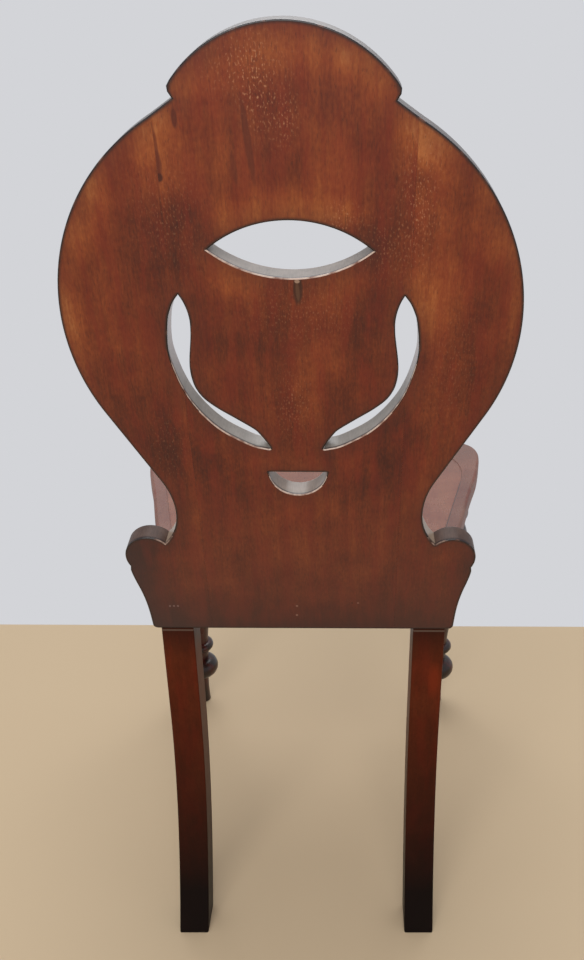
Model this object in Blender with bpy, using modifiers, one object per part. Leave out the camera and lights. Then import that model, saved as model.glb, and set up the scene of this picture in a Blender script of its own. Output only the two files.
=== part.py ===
"""A hall chair in solid mahogany: a leaning, pierced back board glued up from three planks,
a flat moulded seat on a mortised frame, two turned front legs and two square swept rear legs.

Metres, +Z up, origin on the floor at the middle of the chair's box, front towards -Y.
Every depth below is counted forwards (towards -Y) from the back board's bottom rear edge.
"""

import math

import bmesh
import bpy
from mathutils import Matrix, Vector

# Sizes that set the chair
seat_height = 0.430
seat_thickness = 0.022
seat_front_depth = 0.412
seat_corner_half_width = 0.2275
seat_rear_half_width = 0.150
back_length = 0.5475
back_half_width = 0.184
back_thickness = 0.021
back_bottom_drop = 0.0515
back_lean = math.radians(10.3)
fit_gap = 0.0003
overrun = 0.005
arris = 0.0010

# Back board outline
cap_radius = 0.101
cap_half_width = 0.0795
cap_lip = 0.0035
cap_notch_inset = 0.0020
cap_notch_drop = 0.0094
shoulder_radius = 0.1740
shoulder_centre_x = 0.0098
shoulder_centre_height = 0.3360
shoulder_top_turn = 60
flank_turn = 29.5
waist_half_width = 0.1145
waist_height = 0.1465
waist_upper_radius = 0.074
waist_lower_radius = 0.054
ear_radius = 0.0233
ear_x = 0.1455
ear_height = 0.0942
ear_crease_rise = 0.0161
ear_quirk_drop = 0.0118
skirt_top_half_width = 0.1662
skirt_top_drop = 0.0049
skirt_foot_half_width = 0.1540
skirt_corner_radius = 0.0050
plank_joint_x = 0.0930

# Openings of the back board
eye_half_width = 0.0632
eye_height = 0.3944
eye_upper_rise = 0.0226
eye_lower_drop = 0.0217
moon_half_width = 0.0263
moon_top_height = 0.1931
moon_drop = 0.0246
leaf_height = 0.1406
leaf_bottom_rise = 0.0250
leaf_outer_x = 0.1019

# Seat
seat_edge_radius = 0.0050
seat_under_radius_share = 0.4
seat_field_inset = 0.0200
seat_field_sink = 0.0010
field_reach_share = 0.955

# Rear legs, which stand a little inside the seat's rear corners
seat_rear_overhang = 0.004
rear_leg_width = 0.033
rear_leg_depth = 0.034
rear_leg_kick_depth = 0.0595
rear_leg_curve_height = 0.270
rear_leg_arris = 0.0015

# Front legs, whose square blocks stand a little inside the seat's front corners
seat_side_overhang = 0.015
seat_front_overhang = 0.022
front_block_width = 0.054
front_block_height = 0.056
front_block_arris = 0.0015
collar_drop = 0.0137
collar_half_height = 0.0105
collar_radius = 0.0335
collar_neck_radius = 0.0265
groove_drop = 0.0130
groove_radius = 0.0252
vase_radius = 0.0360
neck_height = 0.1160
neck_radius = 0.0150
ring_height = 0.1050
ring_half_height = 0.0070
ring_radius = 0.0220
ball_neck_radius = 0.0130
ball_height = 0.0655
ball_half_height = 0.0150
ball_radius = 0.0270
ankle_radius = 0.0107
foot_radius = 0.0115
foot_round = 0.0015

# Rails, tenons and corner blocks
rail_thickness = 0.020
rail_height = 0.046
rear_rail_height = 0.040
rear_rail_front_depth = 0.038
rear_rail_rear_depth = 0.010
rear_tenon_depth = 0.0277
rear_tenon_thickness = 0.0065
side_rail_set_back = 0.004
rail_arris = 0.0010
tenon_thickness = 0.009
tenon_height = 0.028
front_tenon_length = 0.020
side_front_tenon_length = 0.020
side_rear_tenon_length = 0.008
rear_tenon_length = 0.010
block_height = 0.032
block_reach = 0.050
block_arris = 0.0010

# Wood screws
screw_head_radius = 0.0042
screw_head_height = 0.0030
screw_shank_radius = 0.0020
screw_point_length = 0.0080
screw_slot_width = 0.0010
screw_slot_depth = 0.0010
screw_bite = 0.012
back_screw_bite = 0.011
back_screw_spacing = 0.040
back_screw_count = 4
front_screw_share = 0.45
back_screw_rise = 0.0095

# How finely round shapes are drawn
turned_steps = 24
screw_steps = 10
bead_points = 7
curve_points = 5
sweep_points = 12
line_steps = 2
seat_line_steps = 3
chamfer_steps = 1
arris_steps = 2
seat_edge_steps = 3
# A corner turning more than this is eased, and faces turning less than this are one flat
sharp_turn = math.radians(40)
flat_turn = math.radians(0.1)

# Colours as sRGB and how each kind of piece reflects
back_wood = ((0.46, 0.22, 0.15), 0.35)
seat_wood = ((0.48, 0.26, 0.19), 0.25)
frame_wood = ((0.33, 0.15, 0.11), 0.40)
leg_wood = ((0.30, 0.12, 0.09), 0.38)
block_wood = ((0.66, 0.50, 0.33), 0.70)
screw_steel = ((0.45, 0.44, 0.43), 0.45)
metals = (screw_steel,)

# Hand-drawn lines, as shares of the sizes they follow
# Rounded lower corner of the cap: share of the lip outwards, then downwards
lip_shares = ((-0.50, -0.50), (0.25, 0.50), (0.17, 1.50))
# Leaf opening, from its top tip: height share up the leaf, then share of its outer x
leaf_outer_shares = (
    (1.000, 0.872),
    (0.957, 0.917),
    (0.905, 0.951),
    (0.850, 0.975),
    (0.742, 0.996),
    (0.640, 0.998),
    (0.530, 0.967),
    (0.425, 0.922),
    (0.321, 0.854),
    (0.211, 0.744),
    (0.123, 0.620),
    (0.058, 0.479),
    (0.016, 0.367),
    (0.000, 0.285),
    (-0.004, 0.229),
)
leaf_inner_shares = (
    (0.037, 0.254),
    (0.100, 0.314),
    (0.137, 0.362),
    (0.207, 0.501),
    (0.276, 0.643),
    (0.343, 0.752),
    (0.410, 0.812),
    (0.475, 0.838),
    (0.541, 0.846),
    (0.604, 0.841),
    (0.667, 0.829),
    (0.728, 0.816),
    (0.790, 0.807),
    (0.850, 0.806),
    (0.908, 0.819),
    (0.960, 0.843),
)
# Seat edge from the rear to the middle of the front: share of the corner half width,
# then share of the front depth
seat_edge_shares = (
    (0.700, 0.190),
    (0.775, 0.330),
    (0.868, 0.540),
    (0.938, 0.680),
    (0.971, 0.765),
    (0.990, 0.825),
    (0.998, 0.880),
    (0.984, 0.925),
    (0.948, 0.956),
    (0.885, 0.979),
    (0.780, 0.990),
    (0.600, 0.994),
    (0.350, 0.998),
)
# Sunk field's front curve: share of the corner half width, then share of the front depth
field_front_shares = (
    (0.853, 0.670),
    (0.862, 0.730),
    (0.842, 0.800),
    (0.780, 0.865),
    (0.670, 0.910),
    (0.480, 0.940),
    (0.250, 0.952),
)
# Lower flank of the back board below the ear: share of the way down, share of the way in
skirt_shares = (
    (0.000, 0.000),
    (0.080, 0.080),
    (0.210, 0.270),
    (0.370, 0.530),
    (0.550, 0.750),
    (0.750, 0.900),
)
# Ankle of the front leg: share of the height up to the ball, then share of the way from
# the ankle's radius out to the foot's
ankle_shares = ((1.00, 1.10), (0.80, 0.20), (0.50, 0.00), (0.25, 0.35))
# Vase of the front leg from the groove down to the neck: share of the drop, then share of
# the way from the neck's radius out to the vase's
vase_shares = (
    (0.012, 0.560),
    (0.034, 0.740),
    (0.075, 0.870),
    (0.120, 0.950),
    (0.180, 1.000),
    (0.245, 0.975),
    (0.340, 0.860),
    (0.460, 0.670),
    (0.580, 0.490),
    (0.700, 0.320),
    (0.820, 0.165),
    (0.930, 0.045),
    (0.980, 0.000),
)

for old in list(bpy.data.objects):
    bpy.data.objects.remove(old, do_unlink=True)

chair = bpy.data.collections.new("hall_chair")
cutters = bpy.data.collections.new("hall_chair_cutters")
bpy.context.scene.collection.children.link(chair)
bpy.context.scene.collection.children.link(cutters)
cutters.hide_render = True


def linear(channel):
    if channel <= 0.04045:
        return channel / 12.92
    return ((channel + 0.055) / 1.055) ** 2.4


def empty(name, location, rotation_x=0.0):
    holder = bpy.data.objects.new(name, None)
    holder.location = location
    holder.rotation_euler = (rotation_x, 0.0, 0.0)
    chair.objects.link(holder)
    return holder


# The back board's bottom edge hangs below the seat's top
back_bottom_height = seat_height - back_bottom_drop

# The chair's box is centred on the origin: its rear is the cap's top, its front the seat's
back_reach = back_length * math.sin(back_lean)
depth_origin = (seat_front_depth - back_reach) / 2
root = empty("chair", (0.0, depth_origin, 0.0))
# The leaning board's own frame: x across, z up the board, y = 0 on its rear face
lean = empty("back_frame", (0.0, 0.0, back_bottom_height), back_lean * -1)
lean.parent = root


def finish(obj, wood):
    colour, roughness = wood
    material = bpy.data.materials.new(obj.name)
    material.use_nodes = True
    shader = material.node_tree.nodes["Principled BSDF"]
    shader.inputs["Base Color"].default_value = tuple(linear(c) for c in colour) + (1.0,)
    shader.inputs["Roughness"].default_value = roughness
    shader.inputs["Metallic"].default_value = float(wood in metals)
    obj.data.materials.clear()
    obj.data.materials.append(material)


def add(name, mesh, parent, wood=None):
    """A piece of the chair, or with no wood a cutter or a blank."""
    obj = bpy.data.objects.new(name, mesh)
    obj.parent = parent
    if wood:
        chair.objects.link(obj)
        finish(obj, wood)
    else:
        cutters.objects.link(obj)
        obj.hide_render = True
        obj.display_type = "WIRE"
    return obj


def mesh_from(bm, name, turn=None):
    bmesh.ops.recalc_face_normals(bm, faces=bm.faces)
    mesh = bpy.data.meshes.new(name)
    bm.to_mesh(mesh)
    bm.free()
    if turn:
        mesh.transform(turn)
    return mesh


def box_mesh(name, low, high):
    """A box between two corners."""
    bm = bmesh.new()
    bmesh.ops.create_cube(bm, size=1.0)
    size = Vector(high) - Vector(low)
    middle = (Vector(high) + Vector(low)) / 2
    bmesh.ops.scale(bm, vec=size, verts=bm.verts)
    bmesh.ops.translate(bm, vec=middle, verts=bm.verts)
    return mesh_from(bm, name)


def level(face):
    return abs(face.normal.z) > abs(face.normal.x) + abs(face.normal.y)


def outline_mesh(name, loops, thickness, turn, far_share=1.0):
    """A flat outline with its openings, made solid. The edges round its top carry a bevel
    weight of 1, and those round its underside far_share."""
    curve = bpy.data.curves.new(name, "CURVE")
    curve.dimensions = "2D"
    curve.fill_mode = "BOTH"
    curve.extrude = thickness / 2
    for loop in loops:
        spline = curve.splines.new("POLY")
        spline.points.add(len(loop) - 1)
        for point, (x, y) in zip(spline.points, loop):
            point.co = (x, y, 0.0, 1.0)
        spline.use_cyclic_u = True
    drawn = bpy.data.objects.new(name, curve)
    cutters.objects.link(drawn)
    graph = bpy.context.evaluated_depsgraph_get()
    flat = bpy.data.meshes.new_from_object(drawn.evaluated_get(graph))
    bpy.data.objects.remove(drawn, do_unlink=True)
    bm = bmesh.new()
    bm.from_mesh(flat)
    bpy.data.meshes.remove(flat)
    bmesh.ops.remove_doubles(bm, verts=bm.verts, dist=fit_gap / 10)
    bmesh.ops.recalc_face_normals(bm, faces=bm.faces)
    inner = [e for e in bm.edges if all(level(f) for f in e.link_faces)]
    bmesh.ops.dissolve_limit(bm, angle_limit=flat_turn, verts=[], edges=inner)
    weight = bm.edges.layers.float.new("bevel_weight_edge")
    for edge in bm.edges:
        flats = [f for f in edge.link_faces if level(f)]
        if len(flats) == 1 and len(edge.link_faces) == 2:
            edge[weight] = 1.0 if flats[0].normal.z > 0 else far_share
    bmesh.ops.translate(bm, vec=(0.0, 0.0, thickness / 2), verts=bm.verts)
    return mesh_from(bm, name, turn)


def turned_mesh_object(name, profile, steps, parent, wood=None):
    """A solid of revolution about its own z, from a profile given top to bottom."""
    bm = bmesh.new()
    last = None
    for radius, height in profile:
        vert = bm.verts.new((radius, 0.0, height))
        if last:
            bm.edges.new((last, vert))
        last = vert
    mesh = bpy.data.meshes.new(name)
    bm.to_mesh(mesh)
    bm.free()
    obj = add(name, mesh, parent, wood)
    spin = obj.modifiers.new("turning", "SCREW")
    spin.axis = "Z"
    spin.steps = steps
    spin.render_steps = steps
    spin.use_merge_vertices = True
    spin.merge_threshold = fit_gap / 10
    spin.use_smooth_shade = True
    return obj


def rounded(obj, width, segments):
    bevel = obj.modifiers.new("arris", "BEVEL")
    bevel.width = width
    bevel.segments = segments
    bevel.limit_method = "WEIGHT"
    bevel.miter_outer = "MITER_ARC"
    bevel.use_clamp_overlap = False


def rounded_by_angle(obj, width, segments):
    bevel = obj.modifiers.new("arris", "BEVEL")
    bevel.width = width
    bevel.segments = segments
    bevel.limit_method = "ANGLE"
    bevel.angle_limit = sharp_turn


def boolean(obj, other, operation):
    step = obj.modifiers.new(operation.lower() + " " + other.name, "BOOLEAN")
    step.operation = operation
    step.solver = "EXACT"
    step.object = other


def arc(centre, radius, start, end, count):
    """Points on a circle from one angle to another, in degrees, with both ends."""
    turns = [math.radians(start + (end - start) * i / count) for i in range(count + 1)]
    return [(centre[0] + radius * math.cos(t), centre[1] + radius * math.sin(t)) for t in turns]


def angle_to(centre, point):
    return math.degrees(math.atan2(point[1] - centre[1], point[0] - centre[0]))


def smooth(points, count):
    """A smooth line through points, with count steps between each pair."""
    out = []
    for i in range(len(points) - 1):
        a = Vector(points[max(i - 1, 0)])
        b = Vector(points[i])
        c = Vector(points[i + 1])
        d = Vector(points[min(i + 2, len(points) - 1)])
        for k in range(count):
            t = k / count
            bend = (c - a) * t + (a * 2 - b * 5 + c * 4 - d) * t**2 + (b * 3 - a - c * 3 + d) * t**3
            out.append(tuple(b + bend / 2))
    out.append(tuple(points[-1]))
    return out


def mirrored(right):
    """A closed outline from its right half. A point on x = 0 is kept once."""
    return right + [(-x, y) for x, y in reversed(right) if x > fit_gap]


# The back board's outline, right half, from the top of the cap to the bottom edge
cap_centre = (0.0, back_length - cap_radius)
cap_end_height = cap_centre[1] + math.sqrt(cap_radius**2 - cap_half_width**2)
lip = [(cap_half_width + out * cap_lip, cap_end_height - down * cap_lip) for out, down in lip_shares]
half = arc(cap_centre, cap_radius, 90, angle_to(cap_centre, lip[0]), curve_points * 3)
half += lip[1:] + [(cap_half_width - cap_notch_inset, cap_end_height - cap_notch_drop)]
shoulder_centre = (shoulder_centre_x, shoulder_centre_height)
half += arc(shoulder_centre, shoulder_radius, shoulder_top_turn, -flank_turn, curve_points * 7)
# The straight flank runs tangent from the shoulder to the waist's hollow
waist_upper_centre = (waist_half_width + waist_upper_radius, waist_height)
waist_lower_centre = (waist_half_width + waist_lower_radius, waist_height)
half += arc(waist_upper_centre, waist_upper_radius, 180 - flank_turn, 180, curve_points * 2)
ear_centre = (ear_x, ear_height)
crease = (ear_x - math.sqrt(ear_radius**2 - ear_crease_rise**2), ear_height + ear_crease_rise)
crease_turn = math.asin(min((waist_height - crease[1]) / waist_lower_radius, 1))
waist_end = 180 + math.degrees(crease_turn)
half += arc(waist_lower_centre, waist_lower_radius, 180, waist_end, curve_points * 2)[1:-1]
half += [crease]
quirk = (ear_x + math.sqrt(ear_radius**2 - ear_quirk_drop**2), ear_height - ear_quirk_drop)
ear_from, ear_to = angle_to(ear_centre, crease), angle_to(ear_centre, quirk)
half += arc(ear_centre, ear_radius, ear_from, ear_to, curve_points * 4)[1:]
skirt_top_height = quirk[1] - skirt_top_drop
skirt_drop = skirt_top_height - skirt_corner_radius
skirt_step = skirt_top_half_width - skirt_foot_half_width
half += smooth(
    [
        (skirt_top_half_width - step * skirt_step, skirt_top_height - drop * skirt_drop)
        for drop, step in skirt_shares
    ]
    + [(skirt_foot_half_width, skirt_corner_radius)],
    line_steps,
)
corner = (skirt_foot_half_width - skirt_corner_radius, skirt_corner_radius)
half += arc(corner, skirt_corner_radius, 0, -90, curve_points)[1:]
board_outline = mirrored(half)


def arch(half_width, rise, height, side):
    """The circular arc over or under a chord, from one end of the chord to the other."""
    radius = (half_width**2 + rise**2) / (2 * rise)
    centre = (0.0, height + side * (rise - radius))
    reach = math.degrees(math.asin(min(half_width / radius, 1.0)))
    if rise > half_width:
        reach = 180 - reach
    return arc(centre, radius, side * (90 + reach), side * (90 - reach), curve_points * 4)


eye_outline = arch(eye_half_width, eye_upper_rise, eye_height, 1)
eye_outline += arch(eye_half_width, eye_lower_drop, eye_height, -1)[::-1][1:-1]
moon_outline = arch(moon_half_width, moon_drop, moon_top_height, -1)


def leaf(side):
    """The long curved opening on one side, its lower end a little above the half-moon."""
    places = leaf_outer_shares + leaf_inner_shares + leaf_outer_shares[:1]
    low = moon_top_height + leaf_bottom_rise
    points = [(side * x * leaf_outer_x, low + up * leaf_height) for up, x in places]
    return smooth(points, line_steps)[:-1]


openings = [eye_outline, moon_outline, leaf(1), leaf(-1)]
# Outlines are drawn lying flat: this stands one up, its underside to the rear
stand_up = Matrix.Rotation(math.pi / 2, 4, "X")
board_mesh = outline_mesh("board_blank", [board_outline] + openings, back_thickness, stand_up)
planks = (
    ("back_board_left", plank_joint_x + fit_gap / 2, back_half_width + overrun),
    ("back_board_centre", -plank_joint_x + fit_gap / 2, plank_joint_x - fit_gap / 2),
    ("back_board_right", -back_half_width - overrun, -plank_joint_x - fit_gap / 2),
)
for name, x_from, x_to in planks:
    plank = add(name, board_mesh.copy(), lean, back_wood)
    rounded(plank, arris, arris_steps)
    width = add(
        name + "_width",
        box_mesh(
            name + "_width",
            (x_from, -back_thickness - overrun, -overrun),
            (x_to, overrun, back_length + overrun),
        ),
        lean,
    )
    boolean(plank, width, "INTERSECT")

# The space that the back board takes, with its clearance: what meets it is cut to it
board_space = add(
    "board_space",
    box_mesh(
        "board_space",
        (-back_half_width, -back_thickness - fit_gap, -fit_gap),
        (back_half_width, overrun, back_length),
    ),
    lean,
)

# The same space carried down past the rear rail, whose back is planed to the board's lean
rail_space = add(
    "rail_space",
    box_mesh(
        "rail_space",
        (-back_half_width, -back_thickness - fit_gap, -rear_rail_height),
        (back_half_width, overrun, back_length),
    ),
    lean,
)

# Seat: half its edge, from the middle of the rear round to the middle of the front
seat_bottom = seat_height - seat_thickness
rail_top = seat_bottom - fit_gap


def seat_point(share_x, share_depth):
    return share_x * seat_corner_half_width, -share_depth * seat_front_depth


seat_half = [(seat_rear_half_width - seat_edge_radius, 0.0)]
seat_half += smooth(
    [(seat_rear_half_width, -seat_thickness)]
    + [seat_point(x, depth) for x, depth in seat_edge_shares]
    + [(0.0, -seat_front_depth)],
    seat_line_steps,
)
seat_mesh = outline_mesh(
    "seat_blank",
    [mirrored(seat_half)],
    seat_thickness,
    Matrix.Translation((0.0, 0.0, seat_bottom)),
    seat_under_radius_share,
)
# The sunk field in the seat's top, inside a plain border
field_half = [(seat_rear_half_width - seat_field_inset, -back_thickness)]
field_half += smooth(
    [seat_point(x, depth) for x, depth in field_front_shares] + [seat_point(0.0, field_reach_share)],
    seat_line_steps,
)
field = add(
    "seat_field",
    outline_mesh(
        "seat_field",
        [mirrored(field_half)],
        seat_field_sink + overrun,
        Matrix.Translation((0.0, 0.0, seat_height - seat_field_sink)),
    ),
    root,
)
seat_boards = {}
for name, side in (("seat_board_left", 1), ("seat_board_right", -1)):
    board = add(name, seat_mesh.copy(), root, seat_wood)
    rounded(board, seat_edge_radius, seat_edge_steps)
    x_low, x_high = sorted((side * fit_gap / 2, side * (seat_corner_half_width + overrun)))
    half_space = add(
        name + "_half",
        box_mesh(
            name + "_half",
            (x_low, -seat_front_depth - overrun, seat_bottom - overrun),
            (x_high, overrun, seat_height + overrun),
        ),
        root,
    )
    boolean(board, half_space, "INTERSECT")
    boolean(board, field, "DIFFERENCE")
    boolean(board, board_space, "DIFFERENCE")
    seat_boards[side] = board


# Where the legs stand: they follow the seat's edge
rear_leg_inner_x = seat_rear_half_width - seat_rear_overhang - rear_leg_width
front_leg_x = seat_corner_half_width - seat_side_overhang - front_block_width / 2
front_leg_depth = seat_front_depth - seat_front_overhang - front_block_width / 2


def grown(low, high, by):
    """The box of a mortise: its tenon's box with the clearance all round."""
    return Vector(low) - Vector((by, by, by)), Vector(high) + Vector((by, by, by))


def tenoned(rail, leg, name, low, high):
    """Joins a tenon to a rail and cuts its mortise in the leg."""
    boolean(rail, add(name, box_mesh(name, low, high), root), "UNION")
    mortise = add(name + "_mortise", box_mesh(name + "_mortise", *grown(low, high, fit_gap)), root)
    boolean(leg, mortise, "DIFFERENCE")


# Rear legs: square in section, upright behind the frame, swept back below
def leg_back(height):
    """How far forward a rear leg's back face is, and its slope, at a height."""
    left = max(1 - height / rear_leg_curve_height, 0.0)
    return -rear_leg_kick_depth * left**2, 2 * rear_leg_kick_depth * left / rear_leg_curve_height


sweep_heights = [rear_leg_curve_height * i / sweep_points for i in range(sweep_points + 1)]
leg_rear_line = [(leg_back(z)[0], z) for z in sweep_heights]
leg_front_line = [
    (leg_back(z)[0] + rear_leg_depth * math.hypot(1, leg_back(z)[1]), z) for z in sweep_heights
]
leg_outline = leg_rear_line + [(0.0, rail_top), (rear_leg_depth, rail_top)] + leg_front_line[::-1]
# Drawn x becomes the depth forwards, drawn y the height, and the thickness runs to -x
side_on = Matrix(((0, 0, -1, 0), (-1, 0, 0, 0), (0, 1, 0, 0), (0, 0, 0, 1)))
leg_mesh = outline_mesh("rear_leg_blank", [leg_outline], rear_leg_width, side_on)
rear_legs = {}
for name, side in (("rear_leg_left", 1), ("rear_leg_right", -1)):
    leg = add(name, leg_mesh.copy(), root, leg_wood)
    leg.location.x = rear_leg_inner_x * side + (rear_leg_width if side > 0 else 0.0)
    rounded(leg, rear_leg_arris, arris_steps)
    boolean(leg, board_space, "DIFFERENCE")
    rear_legs[side] = leg


def bead(middle, half_height, base, peak, count):
    """A rounded bead from its upper to its lower edge, top to bottom."""
    turns = [math.pi * i / (count - 1) for i in range(count)]
    return [(base + (peak - base) * math.sin(t), middle + half_height * math.cos(t)) for t in turns]


# Front legs: a square block under the seat, then one turning down to the floor
block_bottom = rail_top - front_block_height
collar_height = block_bottom - collar_drop
groove_height = collar_height - groove_drop
groove_low = groove_height - (groove_drop - collar_half_height)
vase_drop = groove_low - neck_height
profile = [(0.0, block_bottom + overrun), (collar_neck_radius, block_bottom + overrun)]
profile += bead(collar_height, collar_half_height, collar_neck_radius, collar_radius, bead_points)
profile += [(groove_radius, groove_height)]
profile += [
    (neck_radius + out * (vase_radius - neck_radius), groove_low - down * vase_drop)
    for down, out in vase_shares
]
profile += bead(ring_height, ring_half_height, neck_radius, ring_radius, bead_points)
profile += bead(ball_height, ball_half_height, ball_neck_radius, ball_radius, bead_points * 2)[:-2]
ankle_top = ball_height - ball_half_height
profile += [
    (ankle_radius + out * (foot_radius - ankle_radius), up * ankle_top) for up, out in ankle_shares
]
profile += [(foot_radius, foot_round), (foot_radius - foot_round, 0.0), (0.0, 0.0)]
half_block = front_block_width / 2
front_legs = {}
for name, side in (("front_leg_left", 1), ("front_leg_right", -1)):
    leg = turned_mesh_object(name, profile, turned_steps, root, leg_wood)
    leg.location = (side * front_leg_x, -front_leg_depth, 0.0)
    block = add(
        name + "_block",
        box_mesh(
            name + "_block",
            (-half_block, -half_block, block_bottom),
            (half_block, half_block, rail_top),
        ),
        leg,
    )
    rounded_by_angle(block, front_block_arris, arris_steps)
    boolean(leg, block, "UNION")
    front_legs[side] = leg

# Rails. The side rails run from leg to leg a little inside the legs' outer faces
rail_low = rail_top - rail_height
rail_middle = (rail_top + rail_low) / 2
side_from = (rear_leg_inner_x + rear_leg_width - side_rail_set_back, rear_leg_depth + fit_gap)
side_to = (
    front_leg_x + front_block_width / 2 - side_rail_set_back,
    front_leg_depth - front_block_width / 2 - fit_gap,
)
side_slope = (side_to[0] - side_from[0]) / (side_to[1] - side_from[1])
side_across = rail_thickness * math.hypot(1, side_slope)
clear_across = fit_gap * math.hypot(1, side_slope)


def side_inner(depth):
    """The side rail's inner face at a depth, on the left side."""
    return side_from[0] + side_slope * (depth - side_from[1]) - side_across


def plan(points, side):
    """Places given as (x on the left side, depth forwards), as drawn for one side."""
    return [(side * x, -depth) for x, depth in points]


side_rails = {}
for name, side in (("side_rail_left", 1), ("side_rail_right", -1)):
    corners = [
        side_from,
        side_to,
        (side_inner(side_to[1]), side_to[1]),
        (side_inner(side_from[1]), side_from[1]),
    ]
    lift = Matrix.Translation((0.0, 0.0, rail_low))
    mesh = outline_mesh(name, [plan(corners, side)], rail_height, lift)
    rail = add(name, mesh, root, frame_wood)
    rounded(rail, rail_arris, chamfer_steps)
    for end, leg, far in (
        (side_from, rear_legs[side], side_from[1] - side_rear_tenon_length),
        (side_to, front_legs[side], side_to[1] + side_front_tenon_length),
    ):
        middle = side * (end[0] - side_across / 2)
        root_depth = end[1] + overrun * (1 if far < end[1] else -1)
        low = (middle - tenon_thickness / 2, -max(far, root_depth), rail_middle - tenon_height / 2)
        high = (middle + tenon_thickness / 2, -min(far, root_depth), rail_middle + tenon_height / 2)
        tenoned(rail, leg, leg.name + "_side_tenon", low, high)
    side_rails[side] = rail

front_rail_front = front_leg_depth + front_block_width / 2 - side_rail_set_back
front_rail_rear = front_rail_front - rail_thickness
front_rail_half = front_leg_x - front_block_width / 2 - fit_gap
front_rail = add(
    "front_rail",
    box_mesh(
        "front_rail",
        (-front_rail_half, -front_rail_front, rail_low),
        (front_rail_half, -front_rail_rear, rail_top),
    ),
    root,
    frame_wood,
)
rounded_by_angle(front_rail, rail_arris, chamfer_steps)
front_tenon_depth = front_rail_front - rail_thickness / 2
for side in (1, -1):
    ends = sorted((side * (front_rail_half - overrun), side * (front_rail_half + front_tenon_length)))
    low = (ends[0], -front_tenon_depth - tenon_thickness / 2, rail_middle - tenon_height / 2)
    high = (ends[1], -front_tenon_depth + tenon_thickness / 2, rail_middle + tenon_height / 2)
    tenoned(front_rail, front_legs[side], front_legs[side].name + "_front_tenon", low, high)

# The rear rail stands between the rear legs with its back cut to the leaning board
rear_rail_low = rail_top - rear_rail_height
rear_rail_middle = (rail_top + rear_rail_low) / 2
rear_rail_half = rear_leg_inner_x - fit_gap
rear_rail = add(
    "rear_rail",
    box_mesh(
        "rear_rail",
        (-rear_rail_half, -rear_rail_front_depth, rear_rail_low),
        (rear_rail_half, -rear_rail_rear_depth, rail_top),
    ),
    root,
    frame_wood,
)
rounded_by_angle(rear_rail, rail_arris, chamfer_steps)
boolean(rear_rail, rail_space, "DIFFERENCE")
for side in (1, -1):
    ends = sorted((side * (rear_rail_half - overrun), side * (rear_rail_half + rear_tenon_length)))
    low = (ends[0], -rear_tenon_depth - rear_tenon_thickness / 2, rear_rail_middle - tenon_height / 2)
    high = (ends[1], -rear_tenon_depth + rear_tenon_thickness / 2, rear_rail_middle + tenon_height / 2)
    tenoned(rear_rail, rear_legs[side], rear_legs[side].name + "_rear_tenon", low, high)

# Corner blocks, glued in the frame's corners under the seat
block_low = rail_top - block_height
leg_inside = front_leg_x - front_block_width / 2 - fit_gap
leg_behind = front_leg_depth - front_block_width / 2 - fit_gap
front_face = front_rail_rear - fit_gap
rear_face = rear_rail_front_depth + fit_gap
front_corner = [
    (side_inner(leg_behind - block_reach) - clear_across, leg_behind - block_reach),
    (leg_inside - block_reach, front_face),
    (leg_inside, front_face),
    (leg_inside, leg_behind),
    (side_inner(leg_behind) - clear_across, leg_behind),
]
rear_corner = [
    (side_inner(rear_face) - clear_across, rear_face),
    (side_inner(rear_face + block_reach) - clear_across, rear_face + block_reach),
    (side_inner(rear_face) - clear_across - block_reach, rear_face),
]
front_screw = (
    (front_corner[0][0] + front_corner[1][0] + 2 * leg_inside) / 4,
    (front_corner[0][1] + front_corner[1][1] + 2 * leg_behind) / 4,
)
rear_screw = tuple(sum(place) / 3 for place in zip(*rear_corner))
screw_places = []
for end, corners, place in (("front", front_corner, front_screw), ("rear", rear_corner, rear_screw)):
    for hand, side in (("left", 1), ("right", -1)):
        name = end + "_corner_block_" + hand
        lift = Matrix.Translation((0.0, 0.0, block_low))
        mesh = outline_mesh(name, [plan(corners, side)], block_height, lift)
        block = add(name, mesh, root, block_wood)
        rounded(block, block_arris, chamfer_steps)
        screw_places.append(("seat_screw_" + end + "_block_" + hand, side, place, block))

# Screws that hold the seat: up through the corner blocks, and up through deep holes in the rails
side_middle = (side_from[1] + side_to[1]) / 2
side_screw = (side_inner(side_middle) + side_across / 2, side_middle)
front_rail_screw = (front_rail_half * front_screw_share, front_tenon_depth)
for hand, side in (("left", 1), ("right", -1)):
    screw_places.append(("seat_screw_side_rail_" + hand, side, side_screw, side_rails[side]))
    screw_places.append(("seat_screw_front_rail_" + hand, side, front_rail_screw, front_rail))
seat_screw_length = seat_bottom + screw_bite - block_low


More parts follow.
